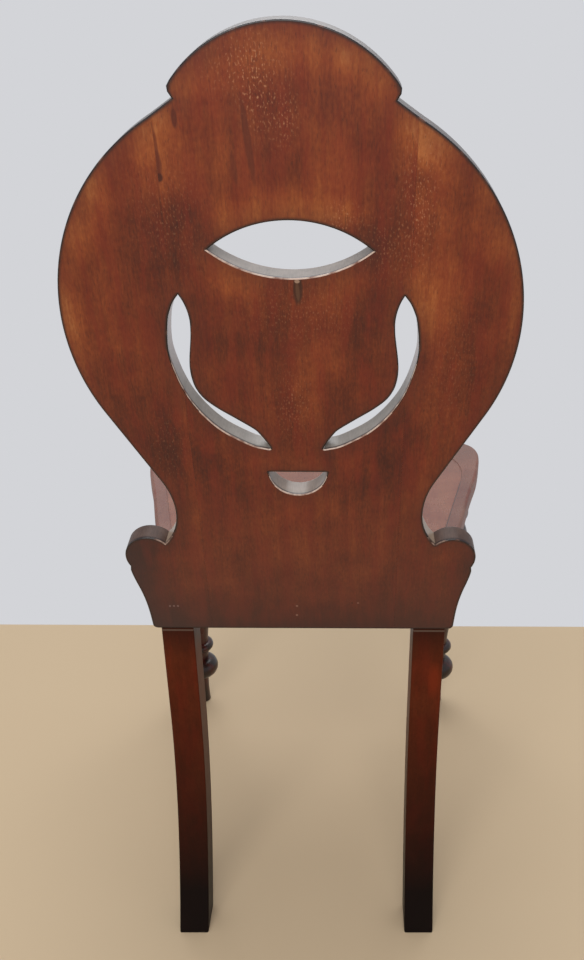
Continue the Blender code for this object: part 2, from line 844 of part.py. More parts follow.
def screw_at(name, location, turn, length, sink, pieces):
    """A countersunk wood screw, and its hole in each piece that it passes. Its head lies
    sink below the surface that it was driven from."""
    shank_end = screw_point_length - length
    profile = [
        (0.0, 0.0),
        (screw_head_radius, 0.0),
        (screw_shank_radius, -screw_head_height),
        (screw_shank_radius, shank_end),
        (0.0, -length),
    ]
    screw = turned_mesh_object(name, profile, screw_steps, root, screw_steel)
    screw.location = location
    screw.rotation_euler = (turn, 0.0, 0.0)
    slot_reach = screw_head_radius + overrun
    slot = add(
        name + "_slot",
        box_mesh(
            name + "_slot",
            (-slot_reach, -screw_slot_width / 2, -screw_slot_depth),
            (slot_reach, screw_slot_width / 2, overrun),
        ),
        screw,
    )
    boolean(screw, slot, "DIFFERENCE")
    wide = screw_head_radius + fit_gap
    narrow = screw_shank_radius + fit_gap
    tip_gap = fit_gap * math.hypot(screw_point_length, screw_shank_radius) / screw_shank_radius
    bore = [
        (0.0, sink + overrun),
        (wide, sink + overrun),
        (wide, -fit_gap),
        (narrow, -screw_head_height - fit_gap),
        (narrow, shank_end),
        (0.0, -length - tip_gap),
    ]
    hole = turned_mesh_object(name + "_hole", bore, screw_steps, root)
    hole.location = location
    hole.rotation_euler = (turn, 0.0, 0.0)
    for piece in pieces:
        boolean(piece, hole, "DIFFERENCE")


for name, side, place, piece in screw_places:
    spot = (side * place[0], -place[1], block_low)
    sink = block_low - rail_low
    screw_at(name, spot, math.pi, seat_screw_length, sink, (piece, seat_boards[side]))

# Screws from the rear rail into the back board
back_screw_height = back_bottom_height + back_screw_rise
board_front_depth = back_thickness / math.cos(back_lean) - back_screw_rise * math.tan(back_lean)
back_screw_length = rear_rail_front_depth - board_front_depth + back_screw_bite
for i in range(back_screw_count):
    x = (i - (back_screw_count - 1) / 2) * back_screw_spacing
    spot = (x, -rear_rail_front_depth, back_screw_height)
    pieces = (rear_rail, chair.objects["back_board_centre"])
    screw_at("back_screw_%d" % (i + 1), spot, math.pi / 2, back_screw_length, 0.0, pieces)
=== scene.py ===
import math

import bmesh
import bpy
import numpy as np
from mathutils import Matrix, Vector


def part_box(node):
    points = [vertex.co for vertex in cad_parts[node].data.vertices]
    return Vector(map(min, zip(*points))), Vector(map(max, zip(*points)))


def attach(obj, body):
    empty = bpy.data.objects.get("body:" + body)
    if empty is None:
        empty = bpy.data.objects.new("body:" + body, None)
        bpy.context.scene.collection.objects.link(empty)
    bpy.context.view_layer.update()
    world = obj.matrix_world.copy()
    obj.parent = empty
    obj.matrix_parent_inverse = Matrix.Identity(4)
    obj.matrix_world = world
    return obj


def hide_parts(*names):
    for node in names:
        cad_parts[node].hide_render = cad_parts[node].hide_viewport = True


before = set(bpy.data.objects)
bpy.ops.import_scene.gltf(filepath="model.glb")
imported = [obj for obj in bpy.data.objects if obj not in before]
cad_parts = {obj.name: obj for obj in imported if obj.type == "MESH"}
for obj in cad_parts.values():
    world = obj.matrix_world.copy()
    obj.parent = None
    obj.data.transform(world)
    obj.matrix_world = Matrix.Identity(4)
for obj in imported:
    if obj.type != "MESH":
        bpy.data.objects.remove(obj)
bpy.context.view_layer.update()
scene = bpy.context.scene

mm = 0.001

# What the frame says: the seat, and where the legs stand
seat_low, seat_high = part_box("seat_board_left")
front_leg_low, front_leg_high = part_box("front_leg_left")
rear_leg_low, rear_leg_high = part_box("rear_leg_left")
seat_height = seat_high.z
seat_thickness = seat_high.z - seat_low.z
seat_corner_half_width = seat_high.x

# The chair's driving sizes. Every depth is counted forwards from the back board's bottom rear edge
seat_front_depth = 412 * mm
seat_rear_half_width = 150 * mm
back_length = 547.5 * mm
back_half_width = 184 * mm
back_thickness = 21 * mm
back_bottom_height = 378.5 * mm
back_lean = math.radians(10.3)
plank_joint_x = 93 * mm
glue_line = 0.06 * mm
overrun = 5 * mm
depth_origin = seat_low.y + seat_front_depth

# Back board outline
cap_radius = 101 * mm
cap_half_width = 79.5 * mm
cap_lip = 3.5 * mm
cap_notch_inset = 2 * mm
cap_notch_drop = 9.4 * mm
shoulder_radius = 174 * mm
shoulder_centre = (9.8 * mm, 336 * mm)
shoulder_top_turn = 60
flank_turn = 29.5
waist_half_width = 114.5 * mm
waist_height = 146.5 * mm
waist_upper_radius = 74 * mm
waist_lower_radius = 54 * mm
ear_radius = 23.3 * mm
ear_centre = (145.5 * mm, 94.2 * mm)
ear_crease_rise = 16.1 * mm
ear_crease = (
    ear_centre[0] - math.sqrt(ear_radius**2 - ear_crease_rise**2),
    ear_centre[1] + ear_crease_rise,
)
ear_quirk_drop = 11.8 * mm
skirt_top_half_width = 166.2 * mm
skirt_top_drop = 4.9 * mm
skirt_foot_half_width = 154 * mm
skirt_corner_radius = 5 * mm
board_arris = 1.0 * mm
crease_wear = 12 * mm
ear_top = 130 * mm

# Openings of the back board
eye_half_width = 63.2 * mm
eye_height = 394.4 * mm
eye_upper_rise = 22.6 * mm
eye_lower_drop = 21.7 * mm
moon_half_width = 26.3 * mm
moon_top_height = 193.1 * mm
moon_drop = 24.6 * mm
leaf_height = 140.6 * mm
leaf_bottom_rise = 25.0 * mm
leaf_outer_x = 101.9 * mm
leaf_bottom = moon_top_height + leaf_bottom_rise
leaf_top = leaf_bottom + leaf_height
rims_apart = moon_top_height + leaf_bottom_rise / 2

# Seat
seat_edge_radius = 5 * mm
seat_under_radius_share = 0.4
seat_field_inset = 20 * mm
seat_field_sink = 1 * mm
step_arris = 0.9 * mm
field_reach_share = 0.955

# Legs
rear_leg_depth = 34 * mm
rear_leg_kick_depth = 59.5 * mm
rear_leg_curve_height = 270 * mm
front_block_width = 54 * mm
front_block_height = 56 * mm
leg_arris = 1.5 * mm
collar_height = 338 * mm
collar_half_height = 10.5 * mm
collar_radius = 33.5 * mm
collar_neck_radius = 26.5 * mm
groove_height = 325 * mm
groove_radius = 25.2 * mm
vase_radius = 36 * mm
neck_height = 116 * mm
neck_radius = 15 * mm
ring_height = 105 * mm
ring_half_height = 7 * mm
ring_radius = 22 * mm
ball_neck_radius = 13 * mm
ball_height = 65.5 * mm
ball_half_height = 15 * mm
ball_radius = 27 * mm
ankle_radius = 10.7 * mm
foot_radius = 11.5 * mm
foot_round = 1.5 * mm

# Painted shade on the rear legs under the board; darker low down and black at the foot
board_shade_top, board_shade_bottom = 378 * mm, 335 * mm
foot_dark_top, foot_dark_bottom = 300 * mm, 190 * mm
foot_black_top, foot_black_bottom = 190 * mm, 45 * mm

# A painted highlight line on the rear legs' backs just under the board, and the right one's
# bright place: (across, up, half width, half height) in millimetres
highlight_line_low = (board_shade_top - 3.2 * mm, board_shade_top - 2.4 * mm)
highlight_line_high = (board_shade_top - 1.2 * mm, board_shade_top - 0.6 * mm)
rear_skin = 2 * mm
bright_patch = (-138, 314, 9, 26)

# The seat's dark border and front, and the painted shadow line along the step, counted from where
# the sunk field's side ends
side_blend = 10 * mm
border_start, border_fade = 10 * mm, 40 * mm
border_blur = 0.5 * mm
front_dark_run = 80 * mm
step_shadow_half_width, step_shadow_blur = 0.4 * mm, 0.8 * mm
step_shadow_fade = 30 * mm

# The board has a painted reflection of the floor low down, and the leaves' rims a painted
# highlight towards their tops. A darker haze lies within so many millimetres of its arrises, and
# painted shade within so many of the outline's arrises and the openings' upper ones
floor_sheen_top, floor_sheen_bottom = 200 * mm, 20 * mm
haze_mm, edge_shade_mm = (1.0, 18.0), (0.9, 3.0)
leaf_highlight_start = leaf_bottom + 0.35 * leaf_height

# How squarely a face looks out of the board on a flat, and on an arris, and up out of the seat
flat_squareness, arris_squareness, seat_squareness = 0.98, 0.15, 0.94

# Lines given as shares of the sizes they follow, the same as the solids have
lip_shares = ((-0.50, -0.50), (0.25, 0.50), (0.17, 1.50))
leaf_outer_shares = (
    (1.000, 0.872), (0.957, 0.917), (0.905, 0.951), (0.850, 0.975), (0.742, 0.996),
    (0.640, 0.998), (0.530, 0.967), (0.425, 0.922), (0.321, 0.854), (0.211, 0.744),
    (0.123, 0.620), (0.058, 0.479), (0.016, 0.367), (0.000, 0.285), (-0.004, 0.229),
)
leaf_inner_shares = (
    (0.037, 0.254), (0.100, 0.314), (0.137, 0.362), (0.207, 0.501), (0.276, 0.643),
    (0.343, 0.752), (0.410, 0.812), (0.475, 0.838), (0.541, 0.846), (0.604, 0.841),
    (0.667, 0.829), (0.728, 0.816), (0.790, 0.807), (0.850, 0.806), (0.908, 0.819),
    (0.960, 0.843),
)
seat_edge_shares = (
    (0.700, 0.190), (0.775, 0.330), (0.868, 0.540), (0.938, 0.680), (0.971, 0.765),
    (0.990, 0.825), (0.998, 0.880), (0.984, 0.925), (0.948, 0.956), (0.885, 0.979),
    (0.780, 0.990), (0.600, 0.994), (0.350, 0.998),
)
field_front_shares = (
    (0.853, 0.670), (0.862, 0.730), (0.842, 0.800), (0.780, 0.865), (0.670, 0.910),
    (0.480, 0.940), (0.250, 0.952),
)
skirt_shares = (
    (0.000, 0.000), (0.080, 0.080), (0.210, 0.270), (0.370, 0.530), (0.550, 0.750),
    (0.750, 0.900),
)
ankle_shares = ((1.00, 1.10), (0.80, 0.20), (0.50, 0.00), (0.25, 0.35))
vase_shares = (
    (0.012, 0.560), (0.034, 0.740), (0.075, 0.870), (0.120, 0.950), (0.180, 1.000),
    (0.245, 0.975), (0.340, 0.860), (0.460, 0.670), (0.580, 0.490), (0.700, 0.320),
    (0.820, 0.165), (0.930, 0.045), (0.980, 0.000),
)

# How finely shapes are drawn
arris_steps = 3
arc_steps = 12
line_steps = 6
turned_steps = 72
curve_steps = 3
seat_edge_steps = 6
field_edge_steps = 2
tone_grid = 6 * mm

# Stains and faded places on the board's rear: (across, up, half width, half height) in
# millimetres, and a tone: faded towards orange over 0, and darkened by old polish under 0
board_tones = (
    (0, 524, 62, 18, 0.28), (100, 468, 16, 34, 0.38), (60, 462, 20, 20, 0.14),
    (-107, 476, 17, 22, 0.60), (-97, 449, 8, 14, -0.10), (-110, 436, 16, 30, 0.20),
    (142, 440, 10, 18, 0.40), (161, 404, 10, 18, 0.28), (-147, 442, 8, 14, 0.28),
    (-164, 400, 10, 16, 0.24), (88, 484, 10, 12, 0.36), (-86, 482, 10, 18, 0.34),
    (66, 508, 14, 12, 0.28), (-68, 506, 12, 14, 0.28), (-43, 527, 14, 12, 0.28),
    (20, 538, 28, 8, 0.24), (-4, 514, 14, 12, -0.18), (-30, 467, 12, 18, 0.24),
    (-38, 421, 12, 12, 0.22), (-104, 354, 14, 20, 0.30), (74, 420, 18, 16, -0.30),
    (-82, 420, 10, 14, -0.14), (-36, 270, 12, 16, -0.20), (-84, 242, 16, 18, -0.26),
    (-26, 210, 10, 16, -0.24), (-76, 151, 14, 18, -0.18), (130, 115, 16, 14, -0.20),
    (46, 414, 18, 12, 0.18), (-65, 310, 10, 16, 0.18), (-114, 184, 12, 24, 0.20),
    (69, 222, 10, 12, 0.18), (162, 291, 10, 18, -0.16), (73, 298, 8, 16, 0.16),
    (58, 486, 12, 10, 0.14), (-114, 330, 12, 20, 0.16), (-130, 362, 12, 16, 0.16),
    (62, 384, 10, 12, 0.14), (-114, 375, 16, 50, 0.26), (-2, 424, 52, 13, 0.34),
    (-30, 442, 20, 14, 0.14), (43, 370, 22, 16, 0.22), (-45, 368, 20, 14, 0.18),
    (178, 335, 10, 40, 0.40), (-176, 345, 9, 40, 0.24), (88, 392, 26, 28, -0.16),
    (-70, 395, 14, 40, -0.10), (64, 330, 16, 34, -0.10), (-62, 326, 16, 34, -0.16),
    (-148, 345, 14, 40, -0.10), (-145, 290, 20, 30, -0.06), (122, 240, 24, 36, -0.26),
    (96, 198, 30, 34, -0.18), (54, 206, 18, 24, -0.10), (54, 310, 22, 40, -0.12),
    (-98, 200, 20, 24, -0.10), (0, 326, 26, 26, -0.16), (0, 240, 30, 40, -0.08),
    (55, 150, 24, 30, -0.10), (-130, 440, 14, 24, 0.06), (-162, 400, 14, 24, 0.12),
    (160, 400, 18, 24, 0.08), (-74, 196, 34, 30, -0.20), (0, 6, 280, 34, -0.36),
    (150, 10, 30, 26, -0.16), (162, 92, 30, 42, -0.44), (-158, 92, 26, 40, -0.16),
)

# Places where dust and old wax have dulled the board's rear, given the same way
board_dulling = (
    (172, 62, 30, 96, 0.62), (132, 4, 44, 34, 0.26), (0, 0, 220, 9, 0.22),
    (-168, 84, 14, 40, 0.25),
)

# Places where the polish has crazed into pale flecks, given the same way
board_crazing = (
    (24, 520, 24, 18, 0.7), (2, 488, 9, 16, 1.0), (20, 500, 9, 22, 0.7),
    (-96, 430, 14, 50, 0.7), (-40, 420, 12, 10, 0.8), (-8, 344, 40, 26, 0.35),
    (0, 262, 16, 30, 0.5), (-70, 396, 14, 22, 0.4), (90, 420, 24, 40, 0.3),
    (-130, 300, 22, 60, 0.25), (112, 220, 16, 34, 0.25),
)

# Small marks on the board's rear: (across, up, half width, half height, turn, colour, strength),
# in millimetres and degrees. They are a knot's dark wedge with a chip at its head, runs of old
# polish, and small dots low down
board_marks = (
    (-5.0, 364, 4.4, 15.0, 0, "#27130e", 0.78),
    (-4.8, 362, 1.8, 9.0, 4, "#5e3d2b", 0.70),
    (-4.6, 370.4, 2.4, 1.8, 0, "#a88a76", 0.80),
    (92.6, 463, 2.4, 23.0, 1, "#5e2012", 0.70),
    (92.0, 456, 3.2, 12.0, 1, "#561a0f", 0.64),
    (92.0, 447, 2.8, 3.6, 0, "#3a0f0a", 0.85),
    (77.0, 487, 2.4, 8.0, 0, "#4d150c", 0.80),
    (27.0, 472, 3.2, 34.0, 6, "#551f10", 0.70),
    (38.2, 454, 2.6, 14.0, 6, "#551f10", 0.50),
    (133.5, 30.6, 1.2, 1.2, 0, "#8f7470", 0.60),
    (129.5, 30.7, 1.2, 1.2, 0, "#8f7470", 0.60),
    (125.5, 30.7, 1.2, 1.2, 0, "#8f7470", 0.60),
    (5.7, 31.4, 1.4, 1.4, 0, "#9a7464", 0.60),
    (6.1, 19.0, 1.4, 1.4, 0, "#9a7464", 0.60),
    (-49.7, 35.8, 1.4, 1.4, 0, "#3a1712", 0.60),
    (-55.7, 35.8, 1.2, 1.2, 0, "#9a7464", 0.50),
)


def arc(centre, radius, start, end, count):
    """Points on a circle from one angle to another, in degrees, with both ends."""
    turns = [math.radians(start + (end - start) * i / count) for i in range(count + 1)]
    return [(centre[0] + radius * math.cos(t), centre[1] + radius * math.sin(t)) for t in turns]


def angle_to(centre, point):
    return math.degrees(math.atan2(point[1] - centre[1], point[0] - centre[0]))


def smooth(points, count):
    """A smooth line through points, with count steps between each pair."""
    out = []
    for i in range(len(points) - 1):
        a = Vector(points[max(i - 1, 0)])
        b = Vector(points[i])
        c = Vector(points[i + 1])
        d = Vector(points[min(i + 2, len(points) - 1)])
        for k in range(count):
            t = k / count
            bend = (c - a) * t + (a * 2 - b * 5 + c * 4 - d) * t**2
            bend += (b * 3 - a - c * 3 + d) * t**3
            out.append(tuple(b + bend / 2))
    out.append(tuple(points[-1]))
    return out


def mirrored(right):
    """A closed outline from its right half. A point on x = 0 is kept once."""
    return right + [(-x, y) for x, y in reversed(right) if x > glue_line]


def board_edge():
    """The back board's outline, from the top of the cap round the right half to the bottom."""
    cap_centre = (0.0, back_length - cap_radius)
    cap_end = cap_centre[1] + math.sqrt(cap_radius**2 - cap_half_width**2)
    lip = [(cap_half_width + out * cap_lip, cap_end - down * cap_lip) for out, down in lip_shares]
    half = arc(cap_centre, cap_radius, 90, angle_to(cap_centre, lip[0]), arc_steps * 3)
    half += lip[1:] + [(cap_half_width - cap_notch_inset, cap_end - cap_notch_drop)]
    half += arc(shoulder_centre, shoulder_radius, shoulder_top_turn, -flank_turn, arc_steps * 6)
    upper = (waist_half_width + waist_upper_radius, waist_height)
    lower = (waist_half_width + waist_lower_radius, waist_height)
    half += arc(upper, waist_upper_radius, 180 - flank_turn, 180, arc_steps)
    crease_turn = math.degrees(math.asin((waist_height - ear_crease[1]) / waist_lower_radius))
    half += arc(lower, waist_lower_radius, 180, 180 + crease_turn, arc_steps)[1:-1] + [ear_crease]
    quirk_run = math.sqrt(ear_radius**2 - ear_quirk_drop**2)
    quirk = (ear_centre[0] + quirk_run, ear_centre[1] - ear_quirk_drop)
    ear_from, ear_to = angle_to(ear_centre, ear_crease), angle_to(ear_centre, quirk)
    half += arc(ear_centre, ear_radius, ear_from, ear_to, arc_steps * 3)[1:]
    top = quirk[1] - skirt_top_drop
    drop = top - skirt_corner_radius
    step = skirt_top_half_width - skirt_foot_half_width
    skirt = [(skirt_top_half_width - out * step, top - down * drop) for down, out in skirt_shares]
    half += smooth(skirt + [(skirt_foot_half_width, skirt_corner_radius)], line_steps)
    corner = (skirt_foot_half_width - skirt_corner_radius, skirt_corner_radius)
    half += arc(corner, skirt_corner_radius, 0, -90, arc_steps // 2)[1:]
    return mirrored(half)


def arch(half_width, rise, height, side):
    """The circular arc over or under a chord, from one end of the chord to the other."""
    radius = (half_width**2 + rise**2) / (2 * rise)
    centre = (0.0, height + side * (rise - radius))
    reach = math.degrees(math.asin(min(half_width / radius, 1.0)))
    return arc(centre, radius, side * (90 + reach), side * (90 - reach), arc_steps * 3)


def leaf(side):
    """The long curved opening on one side, its lower end a little above the half-moon."""
    places = leaf_outer_shares + leaf_inner_shares + leaf_outer_shares[:1]
    points = [(side * x * leaf_outer_x, leaf_bottom + up * leaf_height) for up, x in places]
    return smooth(points, line_steps)[:-1]


def board_loops():
    eye = arch(eye_half_width, eye_upper_rise, eye_height, 1)
    eye += arch(eye_half_width, eye_lower_drop, eye_height, -1)[::-1][1:-1]
    moon = arch(moon_half_width, moon_drop, moon_top_height, -1)
    return [board_edge(), eye, moon, leaf(1), leaf(-1)]


def seat_point(share_x, share_depth):
    return share_x * seat_corner_half_width, -share_depth * seat_front_depth


def seat_loop():
    half = [(seat_rear_half_width - seat_edge_radius, 0.0)]
    half += smooth(
        [(seat_rear_half_width, -seat_thickness)]
        + [seat_point(x, depth) for x, depth in seat_edge_shares]
        + [(0.0, -seat_front_depth)],
        line_steps,
    )
    return mirrored(half)


def field_loop():
    half = [(seat_rear_half_width - seat_field_inset, -back_thickness)]
    half += smooth(
        [seat_point(x, depth) for x, depth in field_front_shares]
        + [seat_point(0.0, field_reach_share)],
        line_steps,
    )
    return mirrored(half)


def level(face):
    return abs(face.normal.z) > abs(face.normal.x) + abs(face.normal.y)


def new_object(name, mesh):
    obj = bpy.data.objects.new(name, mesh)
    scene.collection.objects.link(obj)
    return obj


def mesh_of(bm, name):
    bmesh.ops.recalc_face_normals(bm, faces=bm.faces)
    mesh = bpy.data.meshes.new(name)
    bm.to_mesh(mesh)
    bm.free()
    return mesh


def applied(obj):
    """The mesh that an object's modifiers make. The object itself goes."""
    graph = bpy.context.evaluated_depsgraph_get()
    mesh = bpy.data.meshes.new_from_object(obj.evaluated_get(graph))
    bpy.data.objects.remove(obj, do_unlink=True)
    return mesh


def sawn(name, loops, thickness, arris, far_share=1.0, steps=arris_steps):
    """A board sawn to an outline with its openings, flat from z = 0 up, its arrises eased."""
    curve = bpy.data.curves.new(name, "CURVE")
    curve.dimensions = "2D"
    curve.fill_mode = "BOTH"
    curve.extrude = thickness / 2
    for loop in loops:
        spline = curve.splines.new("POLY")
        spline.points.add(len(loop) - 1)
        for point, (x, y) in zip(spline.points, loop):
            point.co = (x, y, 0.0, 1.0)
        spline.use_cyclic_u = True
    bm = bmesh.new()
    bm.from_mesh(applied(new_object(name, curve)))
    bmesh.ops.remove_doubles(bm, verts=bm.verts, dist=glue_line / 2)
    bmesh.ops.recalc_face_normals(bm, faces=bm.faces)
    inner = [e for e in bm.edges if all(level(f) for f in e.link_faces)]
    bmesh.ops.dissolve_limit(bm, angle_limit=math.radians(0.1), verts=[], edges=inner)
    weight = bm.edges.layers.float.new("bevel_weight_edge")
    for edge in bm.edges:
        flats = [f for f in edge.link_faces if level(f)]
        if len(flats) == 1 and len(edge.link_faces) == 2:
            edge[weight] = 1.0 if flats[0].normal.z > 0 else far_share
    bmesh.ops.translate(bm, vec=(0.0, 0.0, thickness / 2), verts=bm.verts)
    obj = new_object(name, mesh_of(bm, name))
    bevel = obj.modifiers.new("arris", "BEVEL")
    bevel.width = arris
    bevel.segments = steps
    bevel.limit_method = "WEIGHT"
    bevel.miter_outer = "MITER_ARC"
    bevel.use_clamp_overlap = False
    return applied(obj)


def cut(bm, place, facing, fill=False):
    """Cuts the mesh on a plane. With fill, what faces that way goes and the cut is closed."""
    geometry = bm.verts[:] + bm.edges[:] + bm.faces[:]
    made = bmesh.ops.bisect_plane(
        bm, geom=geometry, dist=glue_line / 10, plane_co=place, plane_no=facing, clear_outer=fill
    )
    if fill:
        rim = [e for e in made["geom_cut"] if isinstance(e, bmesh.types.BMEdge)]
        bmesh.ops.edgenet_fill(bm, edges=rim)


def smoothed(obj, angle=40):
    """Smooth over the arrises, flat on the flats."""
    obj.data.polygons.foreach_set("use_smooth", [True] * len(obj.data.polygons))
    obj.data.set_sharp_from_angle(angle=math.radians(angle))
    normals = obj.modifiers.new("flats stay flat", "WEIGHTED_NORMAL")
    normals.keep_sharp = True


def fit(obj, nodes):
    """The piece hangs from the root and stands for its CAD nodes, which are hidden."""
    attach(obj, "root")
    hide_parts(*nodes)


def linear(channel):
    return channel / 12.92 if channel <= 0.04045 else ((channel + 0.055) / 1.055) ** 2.4


def colour(code):
    """The linear colour of an sRGB hex value."""
    parts = [int(code[i : i + 2], 16) / 255 for i in (1, 3, 5)]
    return tuple(linear(part) for part in parts) + (1.0,)


def add(tree, kind, settings=None, links=None, out=0):
    """Adds a node with its settings, and a value or another node's output in each socket, given
    by the sockets' names or numbers, or in their order. It gives back one of its outputs."""
    node = tree.nodes.new(kind)
    for key, value in (settings or {}).items():
        if key == "stops":
            stops = node.color_ramp.elements
            while len(stops) < len(value):
                stops.new(1.0)
            for stop, (place, code) in zip(stops, value):
                stop.position, stop.color = place, colour(code)
        else:
            setattr(node, key, value)
    for key, value in links.items() if isinstance(links, dict) else enumerate(links or ()):
        if isinstance(value, bpy.types.NodeSocket):
            tree.links.new(value, node.inputs[key])
        else:
            node.inputs[key].default_value = value
    return node.outputs[out]


# Settings that several nodes share
multiply = {"operation": "MULTIPLY"}
multiply_add = {"operation": "MULTIPLY_ADD"}
without_sign = {"operation": "ABSOLUTE"}
up_to_one = {"operation": "ADD", "use_clamp": True}


def new_material(name):
    material = bpy.data.materials.new(name)
    material.use_nodes = True
    material.node_tree.nodes.remove(material.node_tree.nodes["Principled BSDF"])
    return material, material.node_tree


def surface(tree, values, height=None, strength=0.0, depth=0.0):
    """The material's Principled shader, with the relief of a height, joined to its output."""
    if height is not None:
        relief = {"Height": height, "Strength": strength, "Distance": depth}
        values["Normal"] = add(tree, "ShaderNodeBump", None, relief)
    shader = add(tree, "ShaderNodeBsdfPrincipled", None, values)
    tree.links.new(shader, tree.nodes["Material Output"].inputs["Surface"])


def figure(tree, place, across, along, axis=2, detail=2.0, rough=0.5):
    """A noise as wide across the grain, and as long along it, as given."""
    scale = [1 / across] * 3
    scale[axis] = 1 / along
    spread = add(tree, "ShaderNodeVectorMath", multiply, (place, scale))
    values = {"Vector": spread, "Scale": 1.0, "Detail": detail, "Roughness": rough}
    return add(tree, "ShaderNodeTexNoise", None, values)


def sum_of(tree, start, shares):
    """start plus each (output, share), added up."""
    total = start
    for output, share in shares:
        total = add(tree, "ShaderNodeMath", multiply_add, (output, share, total))
    return total


def coated(tree, wood, *coats):
    """The wood under coats of dirt, stain or wax, one over another. Each is its colour, and what
    its share is the product of: outputs, and ranges (output, from, to, share from, share to)."""
    for paint, *runs in coats:
        share = None
        for run in runs:
            if isinstance(run, tuple):
                run = add(tree, "ShaderNodeMapRange", None, run)
            share = run if share is None else add(tree, "ShaderNodeMath", multiply, (share, run))
        values = {0: share, 6: wood, 7: colour(paint) if isinstance(paint, str) else paint}
        wood = add(tree, "ShaderNodeMix", {"data_type": "RGBA"}, values, 2)
    return wood


def wandering_grain(tree, place, shift, axis):
    """Places moved to a part of the plank of their own, plain and with the grain wandering."""
    moved = add(tree, "ShaderNodeVectorMath", {"operation": "ADD"}, (place, shift))
    values = {"Vector": moved, "Scale": 1 / grain_wander_length, "Detail": 1.0}
    wander = add(tree, "ShaderNodeTexNoise", None, values, out="Color")
    reach = [grain_wander] * 3
    reach[axis] = 0.0
    return moved, add(tree, "ShaderNodeVectorMath", multiply_add, (wander, reach, moved))


def small_mark(tree, place, across, up, half_width, half_height, turn, back=0.0):
    """A soft oval on a rear face, 1 in its middle and 0 at its rim, turned clockwise."""
    values = {
        "Vector": place,
        "Location": (across * mm, back, up * mm),
        "Rotation": (0.0, math.radians(turn), 0.0),
        "Scale": (half_width * mm, back_thickness / 2, half_height * mm),
    }
    spread = add(tree, "ShaderNodeMapping", {"vector_type": "TEXTURE"}, values)
    return add(tree, "ShaderNodeTexGradient", {"gradient_type": "SPHERICAL"}, (spread,), "Fac")


# Mahogany: broad bands of figure 20 to 60 mm wide, ribbons about 9 mm wide, fibres, and open
# pores about 0.2 mm wide and 2 to 5 mm long. The pores are drawn 0.8 mm wide so that they show,
# and so are the grit in the polish, 2 mm, and its crazed flecks, 1.3 mm, both finer in truth
grain_wander = 9 * mm
grain_wander_length = 160 * mm
band_width, band_length = 42 * mm, 300 * mm
ribbon_width, ribbon_length = 9 * mm, 150 * mm
fibre_width, fibre_length = 1.3 * mm, 22 * mm
pore_width, pore_length = 0.8 * mm, 5 * mm
cloud_width = 34 * mm
stain_width, stain_length = 12 * mm, 60 * mm
grit_width, grit_length = 2.0 * mm, 4.5 * mm
fleck_width, fleck_length = 1.3 * mm, 2.6 * mm
band_share, ribbon_share, fibre_share, cloud_share, grit_share = 0.40, 0.36, 0.32, 0.62, 0.40
middle_tone = 0.48
shellac_ior = 1.5
plain_shine = 0.5
relief_strength = 0.3
polish_depth = 0.10 * mm

# The seat's top is polished brightest of all by sitting, and the rear legs have gone dull
seat_shine = 0.88
rear_leg_shine = 0.08

# Wear along the arrises changes every 9 mm or so, and the saw left a line about every 1 mm
wear_width = 9 * mm
edge_cloud_width = 12 * mm
saw_width, saw_length = 1.1 * mm, 9 * mm
saw_depth = 0.06 * mm
# A dark line of painted shade lies on the sawn edges between these depths and the rear face
shade_line_inside, shade_line_arris = -3.6 * mm, -2.2 * mm
edge_places = (0.35, 0.50, 0.65)

# Softwood has growth rings 2 to 4 mm apart. Rust on a screw starts in specks of about 1 mm
growth_ring_width, growth_ring_length = 3 * mm, 90 * mm
growth_ring_depth = 0.2 * mm
softwood_dirt_width = 20 * mm
softwood_plank = (0.4, 0.2, 0.1)
rust_width = 1 * mm


def french_polished_mahogany(name, stops, roughness, shift=(0.0, 0.0, 0.0), axis=2, figuring=1.0):
    """Mahogany under old shellac polish: red-brown figure with dark pores, a thin clear gloss
    gone satin with age, cloudier where it has been rubbed."""
    material, tree = new_material(name)
    place = add(tree, "ShaderNodeTexCoord", out="Object")
    moved, grain = wandering_grain(tree, place, shift, axis)
    band = figure(tree, grain, band_width, band_length, axis, 1.0)
    ribbon = figure(tree, grain, ribbon_width, ribbon_length, axis)
    fibre = figure(tree, grain, fibre_width, fibre_length, axis, 3.0, 0.65)
    pore = figure(tree, grain, pore_width, pore_length, axis, 1.0)
    pore = add(tree, "ShaderNodeMapRange", None, (pore, 0.62, 0.72, 0.0, 0.45))
    cloud = figure(tree, moved, cloud_width, cloud_width, axis, 3.0, 0.6)
    grit = figure(tree, moved, grit_width, grit_length, axis, 2.0)
    shares = [(band, band_share), (ribbon, ribbon_share), (fibre, fibre_share)]
    shares += [(cloud, cloud_share), (grit, grit_share)]
    shares = [(output, share * figuring) for output, share in shares]
    start = middle_tone - sum(share for output, share in shares) / 2
    if name.startswith("back"):
        painted = add(tree, "ShaderNodeAttribute", {"attribute_name": "tone"}, out="Fac")
        shares.append((painted, 1.0))
    tone = sum_of(tree, start, shares)
    wood = add(tree, "ShaderNodeValToRGB", {"stops": stops}, (tone,))
    stain = figure(tree, moved, stain_width, stain_length, axis, 3.0, 0.6)
    stained = (stain, 0.44, 0.62, 0.0, 0.36 * figuring)
    wood = coated(tree, wood, ("#3a1710", pore), ("#7a1f12", stained))
    shine = plain_shine
    if name.startswith("back"):
        wood = aged_and_shaded_back(tree, wood, place, moved, cloud, name)
    if name.startswith("seat"):
        wood, shine = step_shadow_and_border(tree, wood, place), seat_shine
    if name.startswith("rear_leg"):
        wood, shine = shaded_leg_and_dark_foot(tree, wood, place), rear_leg_shine
    rough = sum_of(tree, roughness - 0.12, [(cloud, 0.16), (fibre, 0.08)])
    height = sum_of(tree, 0.0, [(fibre, 0.25), (pore, -1.0), (cloud, 0.8)])
    values = {"Base Color": wood, "Roughness": rough, "IOR": shellac_ior}
    values["Specular IOR Level"] = shine
    surface(tree, values, height, relief_strength, polish_depth)
    return material


